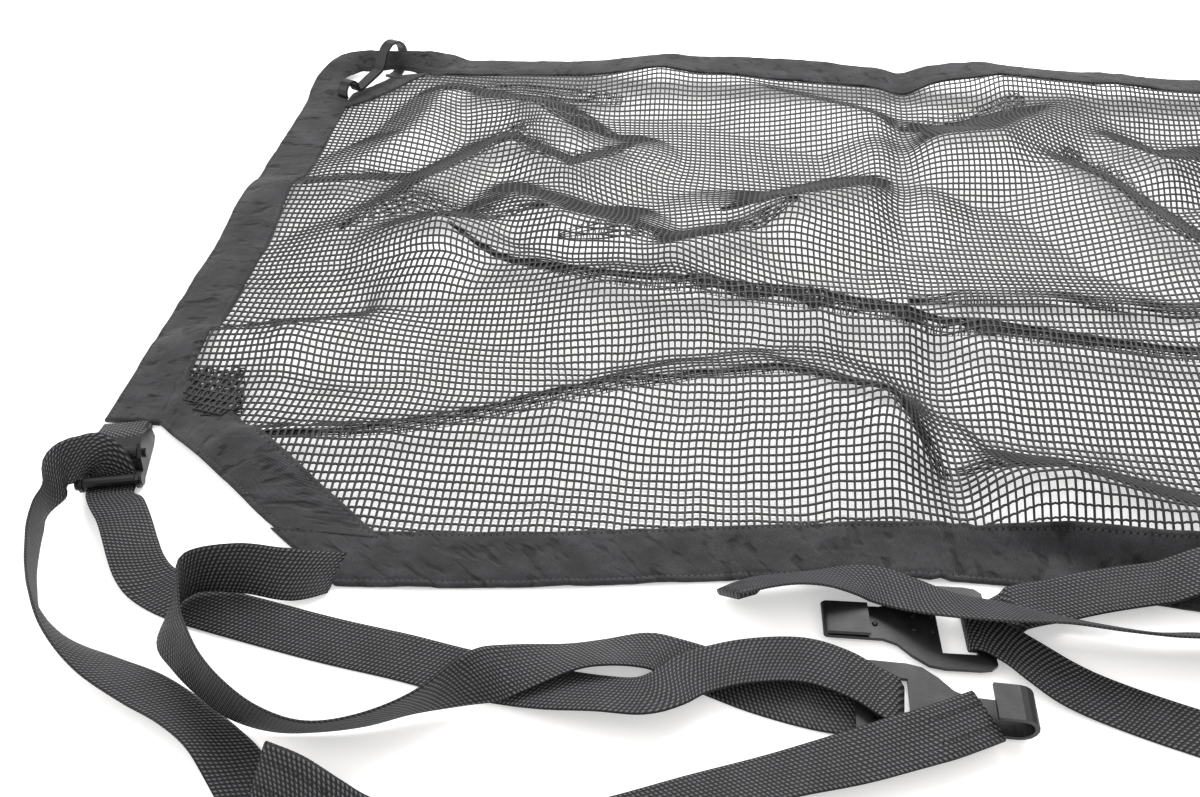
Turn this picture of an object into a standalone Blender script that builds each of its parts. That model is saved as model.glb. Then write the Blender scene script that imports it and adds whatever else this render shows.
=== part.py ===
"""A cargo net laid out on a flat surface: mesh panel, sleeves, corner strips, webbing, hooks and cam buckles.

The tables are in millimetres, in the net's own plan: x runs to the right, y away from the near side,
z up from the surface, and x = 0 is the crease down the middle. ORIGIN moves the finished net so that
the world's origin is under the middle of its box.
"""

import math

import bmesh
import bpy
import numpy as np
from mathutils import Matrix, Vector

MM = 0.001
ORIGIN = (0.0, -80.2)  # the plan point that becomes the world's origin

# Driving dimensions of the cloth, in mm.
SLEEVE_OUT = 466.0  # middle to the outer edge of a side sleeve
SLEEVE_IN = 430.4  # middle to its inner edge
FAR_OUT = 286.0
FAR_IN = 250.4
NEAR_OUT = -307.0
NEAR_PULL = 32.0  # how far the near edge is drawn in at the middle crease
NEAR_WIDTH = 35.6
SLEEVE_THICK = 3.0
PANEL_THICK = 1.5
STRIP_THICK = 2.4
GAP = 0.4
CLOTH_MID = 1.5  # height of the cloth's middle surface where it lies flat

# Webbing, in mm.
WEB_WIDTH = 25.0
WEB_THICK = 1.5
WEB_STEP = 9.0
DOUBLED = 3.6  # thickness of a webbing end that is folded and sewn
LEAST_Z = 0.05  # the webbing's least height above the surface
WEB_CLEAR = 0.7  # and above the cloth that it crosses
PROBES = (-0.55, -0.25, 0, 0.25, 0.55)  # where its height over the cloth is measured, as shares of its width

# Each fold is a ridge through three plan points with a height at each, then its near and far run-out:
# x0, y0, h0, x1, y1, h1, x2, y2, h2, near, far.
FOLDS = {
    "cross_left": (-313, -10, 5, -196, -52, 20, -132, -61, 23, 70, 8),
    "cross_mid": (-132, -61, 23, -60, -66, 24, -2, -76, 19, 75, 8),
    "cross_right": (-2, -76, 19, 45, -86, 20, 170, -94, 11, 80, 8),
    "cross_end": (170, -94, 11, 290, -88, 14, 430, -80, 4, 70, 10),
    "second": (3, -36, 4, 96, -37, 6.5, 330, -42, 4, 12, 30),
    "near_a": (-385, -207, 6, -349, -204, 9, -306, -198, 9, 50, 8),
    "near_b": (-306, -198, 9, -255, -184, 12, -209, -165, 13, 60, 8),
    "near_c": (-209, -165, 13, -176, -153, 16, -130, -139, 11, 60, 8),
    "near_d": (-130, -139, 13, -84, -139, 19, -30, -165, 26, 80, 29),
    "near_e": (-30, -165, 26, -14, -190, 26, 2, -216, 12, 40, 25),
    "near_r": (8, -212, 14, 60, -221, 29, 119, -239, 20, 30, 33),
    "near_far_r": (119, -239, 20, 200, -238, 14, 300, -215, 6, 30, 25),
    "left_mid": (-428, -121, 8, -385, -113, 13, -342, -97, 6, 50, 9),
    "left_up": (-440, 50, 10, -400, 56, 13, -338, 77, 6, 60, 25),
    "diag_long": (-380, -5, 11, -330, 55, 20, -278, 150, 8, 45, 34),
    "arc": (-368, -11, 10, -308, -14, 31, -240, 12, 7, 60, 49),
    "diag_up": (-394, 86, 10, -358, 134, 17, -343, 205, 17, 40, 37),
    "top_a": (-330, 200, 12, -270, 178, 22, -236, 140, 14, 60, 41),
    "v_low": (-278, 118, 19, -231, 80, 19, -190, 126, 11, 40, 37),
    "zone": (-262, 35, 22, -225, 0, 29, -186, -2, 24, 50, 57),
    "band_left": (-225, -21, 7, -150, -26, 25, -63, 46, 6, 50, 41),
    "band_mid": (-115, 40, 12, -70, 40, 26, 2, 78, 18, 60, 45),
    "top_b": (-140, 265, 11, -80, 225, 17, 15, 180, 19, 50, 37),
    "r_top": (22, 141, 22, 90, 146, 29, 172, 242, 14, 60, 57),
    "r_diag": (90, 165, 12, 150, 100, 20, 215, -15, 18, 60, 36),
    "r_small": (178, 175, 12, 209, 130, 20, 250, 150, 10, 40, 33),
    "far_l": (-366, 246, 6, -240, 250, 11, -172, 250, 19, 50, 80),
    "far_m": (-172, 250, 19, -90, 250, 14.5, 30, 250, 9, 50, 80),
    "far_r": (40, 250, 14, 110, 250, 26, 204, 250, 19, 50, 80),
    "far_rr": (204, 250, 19, 290, 250, 15, 370, 246, 3, 50, 60),
    "right_a": (250, 60, 8, 330, 90, 16, 425, 40, 8, 60, 40),
    "right_b": (300, -180, 6, 360, -160, 12, 430, -140, 6, 60, 30),
}
CREST = 5.0  # how far a ridge's top is rounded
BLEND = 5.0  # how sharply the ridges meet
CREASE_Y = (-300, -170, -75, 60, 270)  # the middle crease, which hollows the folds that cross it
CREASE_X = (2, 4, 14, 10, 34)
CREASE_WIDTH = 16.0
CREASE_SHARE = 0.65  # how much of a fold's height the crease takes away
CROSSING_SHARE = 0.45  # how much less it takes where the long fold crosses it
CROSSING_Y = -78.0
CROSSING_WIDTH = 26.0

# The side sleeve's far corner, left side: outer x, y, z, then inner x, y, z. The first and the last row
# only lead the curve in and out. The sleeve is gathered where the hook's ring holds it, at x = -402.
CORNER_ROWS = (
    (-467, 210, 4, -432, 208, 5),
    (-467, 225, 5, -436, 222, 7),
    (-466, 243, 8, -443, 237, 6),
    (-459, 262, 12, -441, 250, 4.5),
    (-446, 274, 15, -433, 259, 4),
    (-425, 273, 18, -419, 257.5, 6),
    (-402, 269.5, 19.5, -402, 257.5, 8),
    (-389, 271, 19, -389, 257, 7),
    (-372, 280, 16, -374, 254, 6),
    (-345, 286, 8, -347, 250.4, 8),
)
CORNER_STEP = 11.0
SIDE_ENDS = (-198.0, 206.0)  # y of the side sleeve's straight run
FAR_END = 345.0  # x where the far sleeve's straight run ends
# How far the far sleeve's outer edge stands above the cloth's own height, as (x, lift).
FAR_LIFTS = ((-345, 0), (-250, 0), (-170, 3), (-90, 8), (-40, 8), (10, 5), (33, 4), (80, 6), (120, 2), (167, 1), (284, 3), (345, 0))
NEAR_HALF = (303.0, 346.6)  # half length of the near sleeve at its outer and at its inner edge

# Rows and columns of the cloth's grids.
PANEL_GRID = (47, 31)
SIDE_ROWS = 34
FAR_ROWS = 57
NEAR_ROWS = 49
STRIP_GRID = (9, 3)
ACROSS = (0, 1 / 3, 2 / 3, 1)  # a sleeve's points from its outer edge to its inner one

# The corner strips of the left side: four plan corners each. The right side mirrors them.
NEAR_CORNER = ((-429.6, -201.6), (-347.0, -267.6), (-293.0, -267.6), (-429.6, -158.0))
FAR_CORNER = ((-429.6, 223.0), (-429.6, 195.0), (-375.0, 249.6), (-403.0, 249.6))

# A strap's row: centre x, y, z, then the plan direction of its width in degrees (None where that
# follows the path) and how far the width leans out of level, in degrees.
SLEEVE_MOUTH = (
    (-316, -303.5, 8.4, 270, 158),
    (-327, -307, 12, None, 138),
    (-348, -306.5, 13.4, None, 121),
    (-368, -313, 15.6, None, 99),
    (-371, -326, 14.8, None, 71),
    (-369, -342, 12.4, None, 53),
    (-359, -354.3, 14.2, None, 61),
    (-345, -367.8, 15.4, None, 73),
    (-328, -379.7, 15.6, None, 83),
    (-309, -386.3, 13.6, None, 99),
)
LEFT_TO_HOOK = (
    (-289, -387.6, 12.8, None, 113),
    (-268, -383.1, 13.6, None, 112),
    (-247, -373.5, 15.2, None, 103),
    (-229, -362.3, 15.4, None, 72),
    (-220, -355.5, 12.4, None, 42),
    (-211, -349, 8.6, None, 10),
    (-187, -339.2, 6.6, None, -24),
    (-169, -335, 7, None, -27),
    (-150, -330.5, 4.4, None, -14),
    (-138, -332.5, 2.2, None, -5),
    (-122, -337, 1.1, None, 0),
    (-99, -345, 0.9, None, 0),
    (-73, -351, 0.9, 86, 0),
    (-52, -352, 0.9, 86, 0),
    (-42.5, -352, 1.3, 84, 0),
    (-37.5, -351.5, 4.2, 83, 0),
    (-40, -350, 7.6, 83, 0),
    (-48, -346, 8.6, 84, 0),
    (-60, -338, 8.2, 86, 0),
    (-80, -332, 8, None, -2),
    (-106, -335, 8, None, -5),
    (-128, -343.5, 8.6, None, -8),
    (-140, -354, 11, None, -14),
    (-152, -360, 12.4, None, -18),
    (-169, -359, 10.4, None, -19),
    (-192, -355, 5, None, -10),
    (-214, -350, 1.2, None, -1),
    (-236, -346.5, 0.9, None, 0),
    (-263, -341, 0.9, None, 0),
    (-298, -335, 0.9, None, 0),
    (-336, -327, 0.9, None, 0),
    (-372, -318.5, 0.9, None, 0),
)
INTO_BUCKLE = (
    (-391, -311, 2, None, 0),
    (-401, -303, 4, None, 0),
    (-409, -292, 6, None, 0),
    (-416, -281, 7.5, None, 0),
    (-425, -268.5, 7, None, 0),
)
# The webbing inside the cam buckle, in the buckle's own p (towards the nose), q (across) and r (up),
# then its width's direction and lean as above.
THROUGH_BUCKLE = (
    (48, 1.0, 3.6, 0, 0),
    (40, 0.0, 2.0, 0, 0),
    (35.4, 0.0, 3.6, 0, 0),
    (33.6, -0.5, 8.0, 0, 0),
    (30.8, -3.5, 14.0, 25, 33),
    (30.8, -9.0, 17.8, 62, 38),
    (33.5, -15.5, 17.6, 84, 38),
    (37.0, -21.5, 17.4, 97, 44),
)
LEFT_TAIL = (
    (-461, -269.4, 14.6, None, 101),
    (-458.7, -283.9, 14.4, None, 98),
    (-455.2, -297.1, 13.6, None, 96),
    (-450.4, -309, 13.4, None, 97),
    (-445.3, -319.2, 13.6, None, 96),
    (-440.1, -328, 14.6, None, 96),
    (-433.2, -337.7, 15.8, None, 94),
    (-416.8, -351.4, 13, None, 68),
    (-395, -362.5, 9.2, None, 39),
    (-371.2, -371.3, 6.3, None, 24),
    (-349.1, -381.8, 6.8, None, 28),
    (-330.6, -393.4, 6.6, None, 26),
    (-316, -406, 1.8, None, 5),
    (-304, -421, 0.9, None, 0),
    (-294, -440.55, 0.9, None, 0),
)
RIGHT_TO_HOOK = (
    (289, -387, 12.4, None, 80),
    (271, -386.5, 8, None, 42),
    (257, -385, 3.2, None, 10),
    (241, -382, 0.9, None, 0),
    (222, -379, 0.9, None, 0),
    (175, -373, 0.9, None, 0),
    (130, -362, 0.9, None, 0),
    (89, -350, 0.9, None, 0),
    (60, -340, 1.2, None, 0),
    (40, -332, 3, None, 0),
    (24, -322, 5.6, 75, 0),
    (12, -313, 6.8, 86, 0),
    (2, -307, 6.6, 91, 0),
    (-2.6, -305.2, 4.8, 91, 0),
    (-3.2, -304.6, 2.3, 91, 0),
    (0.4, -303.5, 0.9, 91, 0),
    (12, -297, 0.9, 95, 0),
    (25, -290, 1.4, 105, 0),
    (42, -285, 4.6, 106, 0),
    (62, -281, 8.6, 100, 0),
    (88, -275, 9.8, 96, 0),
    (120, -268, 9.6, None, 0),
    (160, -266, 9.4, None, 0),
    (200, -272, 9.2, None, 0),
    (240, -285, 8, None, 0),
    (275, -302, 6, None, 0),
    (310, -319.5, 1.2, None, 0),
    (340, -322, 0.9, None, 0),
    (372, -318.5, 0.9, None, 0),
)
RIGHT_TAIL = (
    (437, -334, 13, None, 78),
    (427, -348, 11.4, None, 56),
    (412, -361, 8, None, 34),
    (398, -378, 5, None, 14),
    (378, -399, 2, None, 4),
    (345, -414, 0.9, None, 0),
    (305, -420, 0.9, None, 0),
    (268, -415, 1.6, None, 0),
    (240, -400, 3.6, None, 0),
    (219, -378, 4.2, None, 0),
    (200, -354, 4.8, None, 6),
    (180, -332, 8, None, 20),
    (155, -316, 11.5, None, 36),
    (128, -309, 14, None, 45),
    (103, -308, 14.6, None, 48),
    (83, -309, 14.6, None, 50),
    (61.5, -308, 15.4, None, 48),
    (37.5, -305.4, 16, None, 44),
    (13.5, -303, 15.6, None, 31),
    (-10, -299.8, 14.2, None, 23),
    (-28, -292, 10.2, None, 9),
    (-42, -286, 8.4, None, 5),
    (-54, -285, 9.4, None, 16),
    (-69, -287.2, 11.9, None, 33),
    (-84, -290, 12.5, None, 40),
    (-98, -293, 11.9, None, 39),
    (-108, -297.6, 12.2, None, 41),
    (-114, -301.1, 12.5, None, 43),
)
LOOSE_STRAP = (
    (-304.5, -409.6, 13.2, 73, 48),
    (-289.5, -414.4, 12, None, 40),
    (-275, -421, 9, None, 29),
    (-260, -426.5, 5.5, None, 18),
    (-240, -429.2, 2.5, None, 8),
    (-216, -428.3, 1.4, None, 1),
    (-188, -423.1, 1.5, None, -3),
    (-159, -414, 2.7, None, -8),
    (-126, -401.1, 4.2, None, -13),
    (-93, -389.2, 5.6, None, -15),
    (-62, -380, 9, None, -3),
    (-42, -373, 11, None, 3),
    (-24, -365.8, 10.8, None, 4),
    (-3, -355.4, 9.8, None, 4),
)
TAB_ROWS = (
    (-8.75, 0, 1.8, 0, 0),
    (-4.5, 0, 1.9, 0, 0),
    (0.0, 0, 2.0, 0, 0),
    (5.5, 0, 2.7, 0, 0),
    (12.0, 0, 3.9, 0, 0),
    (14.2, 0, 7.6, 0, 0),
    (12.0, 0, 11.4, 0, 0),
    (5.5, 0, 10.4, 0, 0),
    (0.0, 0, 8.4, 0, 0),
    (-5.0, 0, 6.8, 0, 0),
)

# Cam buckle, in its own p, q, r in mm.
BUCKLE_AT = (-447.6, -209.5)
BUCKLE_TURN = 12.0  # degrees that its width is turned from the net's
EAR_OUTER = 15.6
EAR_THICK = 2.0
EAR_PROFILE = (
    (2, 2), (3, 8), (8, 13), (16, 17), (24, 17), (30, 12), (32.5, 5.2), (36, 5.2), (37, 8.4),
    (40, 9.2), (43, 8.2), (44, 5.6), (43, 2.4), (40, 0.3), (8, 0.3),
)
TAB_BAR = (9.6, 7.6, 2.5)  # p, r, radius
ROLLER = (40.0, 6.2)
ROLLER_RADIUS = 3.0
PIVOT = (24.0, 10.0)
PIN_RADIUS = 1.6
DRUM_RADIUS = 4.4
LEVER_HALF = 12.8
BORE_PLAY = 0.3
FLANGE_GAP = 0.4
PIN_HEAD = 2.6
ROLLER_NECK = 1.7
ROLLER_HEAD = 3.6
HEAD_THICK = 1.2
THUMB_PROFILE = ((14.5, 12.4), (14.5, 14.2), (25.0, 14.2), (25.0, 12.4))
BASE_PROFILE = ((17.0, 0.3), (17.0, 2.3), (29.0, 2.3), (29.0, 0.3))

# Flat hooks: the developed plate, row by row: distance from the frame's end, half width, half slot.
FLAT_PLATE = (
    (0.0, 20.5, 10.0),
    (3.0, 23.0, 13.0),
    (8.0, 23.8, 15.5),
    (24.0, 23.8, 15.5),
    (31.0, 22.5, 12.0),
    (38.0, 17.5, 8.0),
    (44.0, 11.5, 6.0),
    (50.0, 9.2, 5.0),
)
PLATE_THICK = 2.0
PLATE_Z = 3.1
SLOT_ROW = 2  # the slot lies between the third and fourth rows of FLAT_PLATE
HOOK_HALF = 8.8
BEND_STEPS = 8
# x, y, heading in degrees, run from the plate's last row to the bend, bend radius, lip length
NEAR_LEFT_HOOK = (-58, -350, -2, 18.5, 6.5, 11)
NEAR_RIGHT_HOOK = (8, -304, 181, 25.0, 1.6, 19)

# The far corner's hook: a strip bent into an open ring, a stem and a small curl. Its own frame has the
# ring's centre as its origin, u along the stem and r up.
RING_RADIUS = 15.0
RING_ANGLES = (-62, -341, -20)  # first, last and step in degrees, from u towards r
STEM_ROWS = ((17.2, 0.6), (21.0, -2.0), (47.0, -6.8), (51.6, -6.6))
CURL_CENTRE = (61.0, -4.0)
CURL_RADIUS = 8.0
CURL_ANGLES = (176, -25, -25)
CORNER_HOOK_HALF = 4.5
CORNER_HOOK_AT = (-404.0, 260.0, 17.0)
CORNER_HOOK_HEADING = 246.0

TINY = 1.0e-9  # keeps a division by no distance finite


def smooth_points(rows, step):
    """Points every `step` along a Catmull-Rom curve through the rows; the first three columns are the place."""
    rows = np.array(rows, float)
    padded = np.vstack([2 * rows[0] - rows[1], rows, 2 * rows[-1] - rows[-2]])
    curve = []
    for index in range(1, len(padded) - 2):
        before, start, end, after = padded[index - 1 : index + 3]
        count = max(1, round(np.linalg.norm(end[:3] - start[:3]) / step))
        for t in np.arange(count) / count:
            curve.append(
                0.5
                * (
                    2 * start
                    + (end - before) * t
                    + (2 * before - 5 * start + 4 * end - after) * t**2
                    + (3 * start - before - 3 * end + after) * t**3
                )
            )
    curve.append(padded[-2])
    return np.array(curve)


def ridge(x, y, start, end, near, far):
    """Height of one straight ridge, with a longer or shorter fall on its far side."""
    x0, y0, h0 = start
    x1, y1, h1 = end
    run_x = x1 - x0
    run_y = y1 - y0
    length = math.hypot(run_x, run_y)
    t = np.clip(((x - x0) * run_x + (y - y0) * run_y) / length**2, 0, 1)
    off_x = x - (x0 + t * run_x)
    off_y = y - (y0 + t * run_y)
    distance = np.hypot(off_x, off_y)
    side = (off_y * run_x - off_x * run_y) / length / np.maximum(distance, TINY)
    far_share = np.clip(0.5 + 0.5 * side, 0, 1)
    run_out = near + (far - near) * far_share**1.5
    fall = (np.sqrt(distance**2 + CREST**2) - CREST) / run_out
    return (h0 + (h1 - h0) * t) * np.clip(1 - fall, 0, None)


def cloth_height(x, y):
    """Height of the cloth's middle surface: the folds, less the hollow down the middle crease."""
    total = np.zeros(np.broadcast(x, y).shape)
    for row in FOLDS.values():
        near, far = row[9], row[10]
        first = ridge(x, y, row[0:3], row[3:6], near, far)
        second = ridge(x, y, row[3:6], row[6:9], near, far)
        total = total + np.maximum(first, second) ** BLEND
    folds = total ** (1 / BLEND)
    off_crease = np.abs(x - np.interp(y, CREASE_Y, CREASE_X))
    crossing = np.exp(-(((y - CROSSING_Y) / CROSSING_WIDTH) ** 2))
    share = CREASE_SHARE - CROSSING_SHARE * crossing
    hollow = share * np.exp(-((off_crease / CREASE_WIDTH) ** 2))
    return CLOTH_MID + folds * (1 - hollow)


def near_edge(x):
    return NEAR_OUT + NEAR_PULL * np.exp(-((x / 200.0) ** 2))


def material(name, colour, roughness, metallic=0.0):
    made = bpy.data.materials.new(name)
    made.use_nodes = True
    shader = made.node_tree.nodes["Principled BSDF"]
    shader.inputs["Base Color"].default_value = (*colour, 1)
    shader.inputs["Roughness"].default_value = roughness
    shader.inputs["Metallic"].default_value = metallic
    return made


def add_object(name, bm, look, smooth=True):
    """Turn a bmesh in net millimetres into an object in world metres."""
    bmesh.ops.translate(bm, vec=(-ORIGIN[0], -ORIGIN[1], 0), verts=bm.verts)
    bmesh.ops.scale(bm, vec=(MM, MM, MM), verts=bm.verts)
    mesh = bpy.data.meshes.new(name)
    bm.to_mesh(mesh)
    bm.free()
    if smooth:
        mesh.shade_smooth()
        mesh.set_sharp_from_angle(angle=math.radians(40))
    mesh.materials.append(look)
    made = bpy.data.objects.new(name, mesh)
    bpy.context.scene.collection.objects.link(made)
    return made


def grid_sheet(points):
    """A bmesh sheet from a rows x columns x 3 array of points."""
    bm = bmesh.new()
    rows, columns = points.shape[:2]
    verts = [[bm.verts.new(points[i, j]) for j in range(columns)] for i in range(rows)]
    for i in range(rows - 1):
        for j in range(columns - 1):
            bm.faces.new((verts[i][j], verts[i + 1][j], verts[i + 1][j + 1], verts[i][j + 1]))
    return bm


def thicken(bm, thickness):
    """Close a sheet into cloth: its copy is lifted by the thickness, and the rim is walled."""
    bmesh.ops.translate(bm, vec=(0, 0, -thickness / 2), verts=bm.verts)
    lifted = bmesh.ops.extrude_face_region(bm, geom=bm.faces[:], use_keep_orig=True)
    top = [item for item in lifted["geom"] if isinstance(item, bmesh.types.BMVert)]
    bmesh.ops.translate(bm, vec=(0, 0, thickness), verts=top)
    bmesh.ops.recalc_face_normals(bm, faces=bm.faces[:])


def mesh_panel(look):
    """The open-mesh panel: one cut piece whose corners end at the diagonal strips."""
    columns = np.linspace(-SLEEVE_IN + 2 * GAP, SLEEVE_IN - 2 * GAP, PANEL_GRID[0])
    share = np.linspace(0, 1, PANEL_GRID[1])
    x, t = np.meshgrid(columns, share, indexing="ij")
    y_near = near_edge(x) + NEAR_WIDTH + 2 * GAP
    y = y_near + (FAR_IN - 2 * GAP - y_near) * t
    bm = grid_sheet(np.stack([x, y, cloth_height(x, y)], axis=2))
    inner_edges = ((NEAR_CORNER[3], NEAR_CORNER[2]), (FAR_CORNER[1], FAR_CORNER[2]))
    for inner_start, inner_end in inner_edges:
        for side in (1, -1):
            start = Vector((side * inner_start[0], inner_start[1], 0))
            end = Vector((side * inner_end[0], inner_end[1], 0))
            outward = Vector((end.y - start.y, start.x - end.x, 0)).normalized()
            if outward.x * side > 0:
                outward.negate()
            bmesh.ops.bisect_plane(
                bm,
                geom=bm.verts[:] + bm.edges[:] + bm.faces[:],
                dist=1e-4,
                plane_co=start - outward * GAP,
                plane_no=outward,
                clear_outer=True,
            )
    thicken(bm, PANEL_THICK)
    return add_object("mesh_panel", bm, look)


def corner_sections():
    """The side sleeve round one far corner, as (outer, inner) points, going from the side to the far edge."""
    return [(row[:3], row[3:]) for row in smooth_points(CORNER_ROWS, CORNER_STEP)[1:-1]]


def sleeve_outer(look):
    """The cloth sleeve along the left, far and right sides, one strip four points wide."""
    sections = []
    for y in np.linspace(*SIDE_ENDS, SIDE_ROWS):
        sections.append(((-SLEEVE_OUT, y, None), (-SLEEVE_IN, y, None)))
    corner = corner_sections()
    sections += corner
    for x in np.linspace(-FAR_END, FAR_END, FAR_ROWS):
        lift = float(np.interp(x, *zip(*FAR_LIFTS)))
        outer_z = float(cloth_height(x, FAR_OUT)) + lift
        sections.append(((x, FAR_OUT, outer_z), (x, FAR_IN, float(cloth_height(x, FAR_IN)))))
    sections += [((-o[0], o[1], o[2]), (-i[0], i[1], i[2])) for o, i in reversed(corner)]
    for y in np.linspace(*reversed(SIDE_ENDS), SIDE_ROWS):
        sections.append(((SLEEVE_OUT, y, None), (SLEEVE_IN, y, None)))
    points = np.zeros((len(sections), len(ACROSS), 3))
    for index, (outer, inner) in enumerate(sections):
        for place, share in enumerate(ACROSS):
            x = outer[0] + (inner[0] - outer[0]) * share
            y = outer[1] + (inner[1] - outer[1]) * share
            if outer[2] is None:
                z = cloth_height(x, y)
            else:
                z = outer[2] + (inner[2] - outer[2]) * share
            points[index, place] = (x, y, z)
    bm = grid_sheet(points)
    thicken(bm, SLEEVE_THICK)
    return add_object("sleeve_outer", bm, look)


def sleeve_near(look):
    """The cloth sleeve along the near side, its ends cut along the corner strips."""
    u, v = np.meshgrid(np.linspace(-1, 1, NEAR_ROWS), ACROSS, indexing="ij")
    x = u * (NEAR_HALF[0] + (NEAR_HALF[1] - NEAR_HALF[0]) * v)
    y = near_edge(x) + NEAR_WIDTH * v
    bm = grid_sheet(np.stack([x, y, cloth_height(x, y)], axis=2))
    thicken(bm, SLEEVE_THICK)
    return add_object("sleeve_near", bm, look)


def corner_strip(name, corners, side, look):
    """A strip of cloth sewn diagonally across a corner, between four plan corners."""
    a, b, c, d = [np.array(corner) for corner in corners]
    u, v = np.meshgrid(*[np.linspace(0, 1, count) for count in STRIP_GRID], indexing="ij")
    u, v = u[..., None], v[..., None]
    if corners is FAR_CORNER:
        plan = (a * (1 - u) + d * u) * (1 - v) + (b * (1 - u) + c * u) * v
    else:
        plan = (a * (1 - u) + b * u) * (1 - v) + (d * (1 - u) + c * u) * v
    x, y = plan[..., 0] * side, plan[..., 1]
    bm = grid_sheet(np.stack([x, y, cloth_height(x, y)], axis=2))
    thicken(bm, STRIP_THICK)
    return add_object(name, bm, look)


def across_angles(rows):
    """Fill in each row's width direction from the path, keeping it turned the same way along the strap."""
    places = np.array([row[:2] for row in rows], float)
    angles = []
    for index, row in enumerate(rows):
        if row[3] is None:
            ahead = places[min(index + 1, len(rows) - 1)] - places[max(index - 1, 0)]
            angle = math.degrees(math.atan2(ahead[1], ahead[0])) + 90
        else:
            angle = row[3]
        if angles:
            turns = 360 if row[3] is not None else 180
            angle += turns * round((angles[-1] - angle) / turns)
        angles.append(angle)
    return angles


def over_sleeve(place, width):
    """The least height of a webbing's middle where it crosses the near sleeve or the panel, else zero."""
    needed = 0.0
    for share in PROBES:
        x, y = (place + width * WEB_WIDTH * share)[:2]
        if abs(x) < NEAR_HALF[0] + 7 and y > near_edge(x) - 3:
            clear = cloth_height(x, y) + (SLEEVE_THICK + WEB_THICK) / 2 + WEB_CLEAR
            needed = max(needed, float(clear) - width[2] * WEB_WIDTH * share)
    return needed


def webbing(name, rows, look, doubled=(0, 0)):
    """A webbing ribbon along the rows; its first and last lengths may be folded double and sewn."""
    angles = across_angles(rows)
    filled = [(r[0], r[1], r[2], a, r[4]) for r, a in zip(rows, angles)]
    path = smooth_points(filled, WEB_STEP)
    places = path[:, :3]
    tangents = np.gradient(places, axis=0)
    travelled = np.concatenate([[0], np.cumsum(np.linalg.norm(np.diff(places, axis=0), axis=1))])
    bm = bmesh.new()
    loops = []
    for index, (place, tangent) in enumerate(zip(places, tangents)):
        angle, lean = np.radians(path[index, 3:5])
        level = math.cos(lean)
        width = np.array([math.cos(angle) * level, math.sin(angle) * level, math.sin(lean)])
        normal = np.cross(tangent, width)
        normal = normal / np.linalg.norm(normal)
        to_end = travelled[-1] - travelled[index]
        in_doubled = travelled[index] < doubled[0] or to_end < doubled[1]
        thick = DOUBLED if in_doubled else WEB_THICK
        low = place[2] - abs(width[2]) * WEB_WIDTH / 2 - abs(normal[2]) * thick / 2
        lift = max(0.0, LEAST_Z - low, over_sleeve(place, width) - place[2])
        centre = place + np.array([0, 0, lift])
        corners = []
        for across, up in ((-1, -1), (1, -1), (1, 1), (-1, 1)):
            corners.append(bm.verts.new(centre + width * across * WEB_WIDTH / 2 + normal * up * thick / 2))
        loops.append(corners)
    for first, second in zip(loops, loops[1:]):
        for k in range(4):
            bm.faces.new((first[k], first[(k + 1) % 4], second[(k + 1) % 4], second[k]))
    bm.faces.new(reversed(loops[0]))
    bm.faces.new(loops[-1])
    bmesh.ops.recalc_face_normals(bm, faces=bm.faces[:])
    return add_object(name, bm, look)


def mirrored(rows):
    """The same strap rows on the right side."""
    return [(-x, y, z, None if across is None else 180 - across, lean) for x, y, z, across, lean in rows]


def from_buckle(rows):
    """Rows given in the left buckle's p, q, r, as plan rows."""
    turn = math.radians(BUCKLE_TURN)
    pull = np.array([math.sin(turn), -math.cos(turn)])
    wide = np.array([math.cos(turn), math.sin(turn)])
    out = []
    for p, q, r, across, lean in rows:
        x, y = np.array(BUCKLE_AT) + pull * p + wide * q
        out.append((x, y, r, across + BUCKLE_TURN, lean))
    return out


def left_strap_rows():
    return [*SLEEVE_MOUTH, *LEFT_TO_HOOK, *INTO_BUCKLE, *from_buckle(THROUGH_BUCKLE), *LEFT_TAIL]


def right_strap_rows():
    to_buckle = mirrored([*INTO_BUCKLE, *from_buckle(THROUGH_BUCKLE)])
    tail = mirrored(LEFT_TAIL[:5])
    return [*mirrored(SLEEVE_MOUTH), *RIGHT_TO_HOOK, *to_buckle, *tail, *RIGHT_TAIL]


def buckle_matrix(side):
    """From p, q, r of a buckle to the net's plan; the right buckle is the left one mirrored."""
    turn = math.radians(BUCKLE_TURN)
    matrix = Matrix(
        (
            (math.sin(turn), math.cos(turn), 0, BUCKLE_AT[0]),
            (-math.cos(turn), math.sin(turn), 0, BUCKLE_AT[1]),
            (0, 0, 1, 0),
            (0, 0, 0, 1),
        )
    )
    if side > 0:
        matrix = Matrix.Diagonal((-1, 1, 1, 1)) @ matrix
    return matrix


def buckle_piece(name, bm, side, look):
    bmesh.ops.transform(bm, matrix=buckle_matrix(side), verts=bm.verts)
    bmesh.ops.recalc_face_normals(bm, faces=bm.faces[:])
    if bm.calc_volume(signed=True) < 0:
        bmesh.ops.reverse_faces(bm, faces=bm.faces[:])
    return add_object(name, bm, look)


def extruded(bm, profile, q_low, q_high):
    """A plate with a profile in p and r, between two places across."""
    low = [bm.verts.new((p, q_low, r)) for p, r in profile]
    high = [bm.verts.new((p, q_high, r)) for p, r in profile]
    bm.faces.new(low)
    bm.faces.new(reversed(high))
    for k in range(len(profile)):
        n = (k + 1) % len(profile)
        bm.faces.new((low[k], high[k], high[n], low[n]))


def round_profile(p, r, radius, count=12):
    return [
        (p + radius * math.cos(2 * math.pi * k / count), r + radius * math.sin(2 * math.pi * k / count))
        for k in range(count)
    ]


def union(body, others):
    """Join other solids to a body with Boolean unions and drop them."""
    for other in others:
        modifier = body.modifiers.new("join", "BOOLEAN")
        modifier.operation = "UNION"
        modifier.object = other
        other.hide_render = True
        other.display_type = "WIRE"


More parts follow.
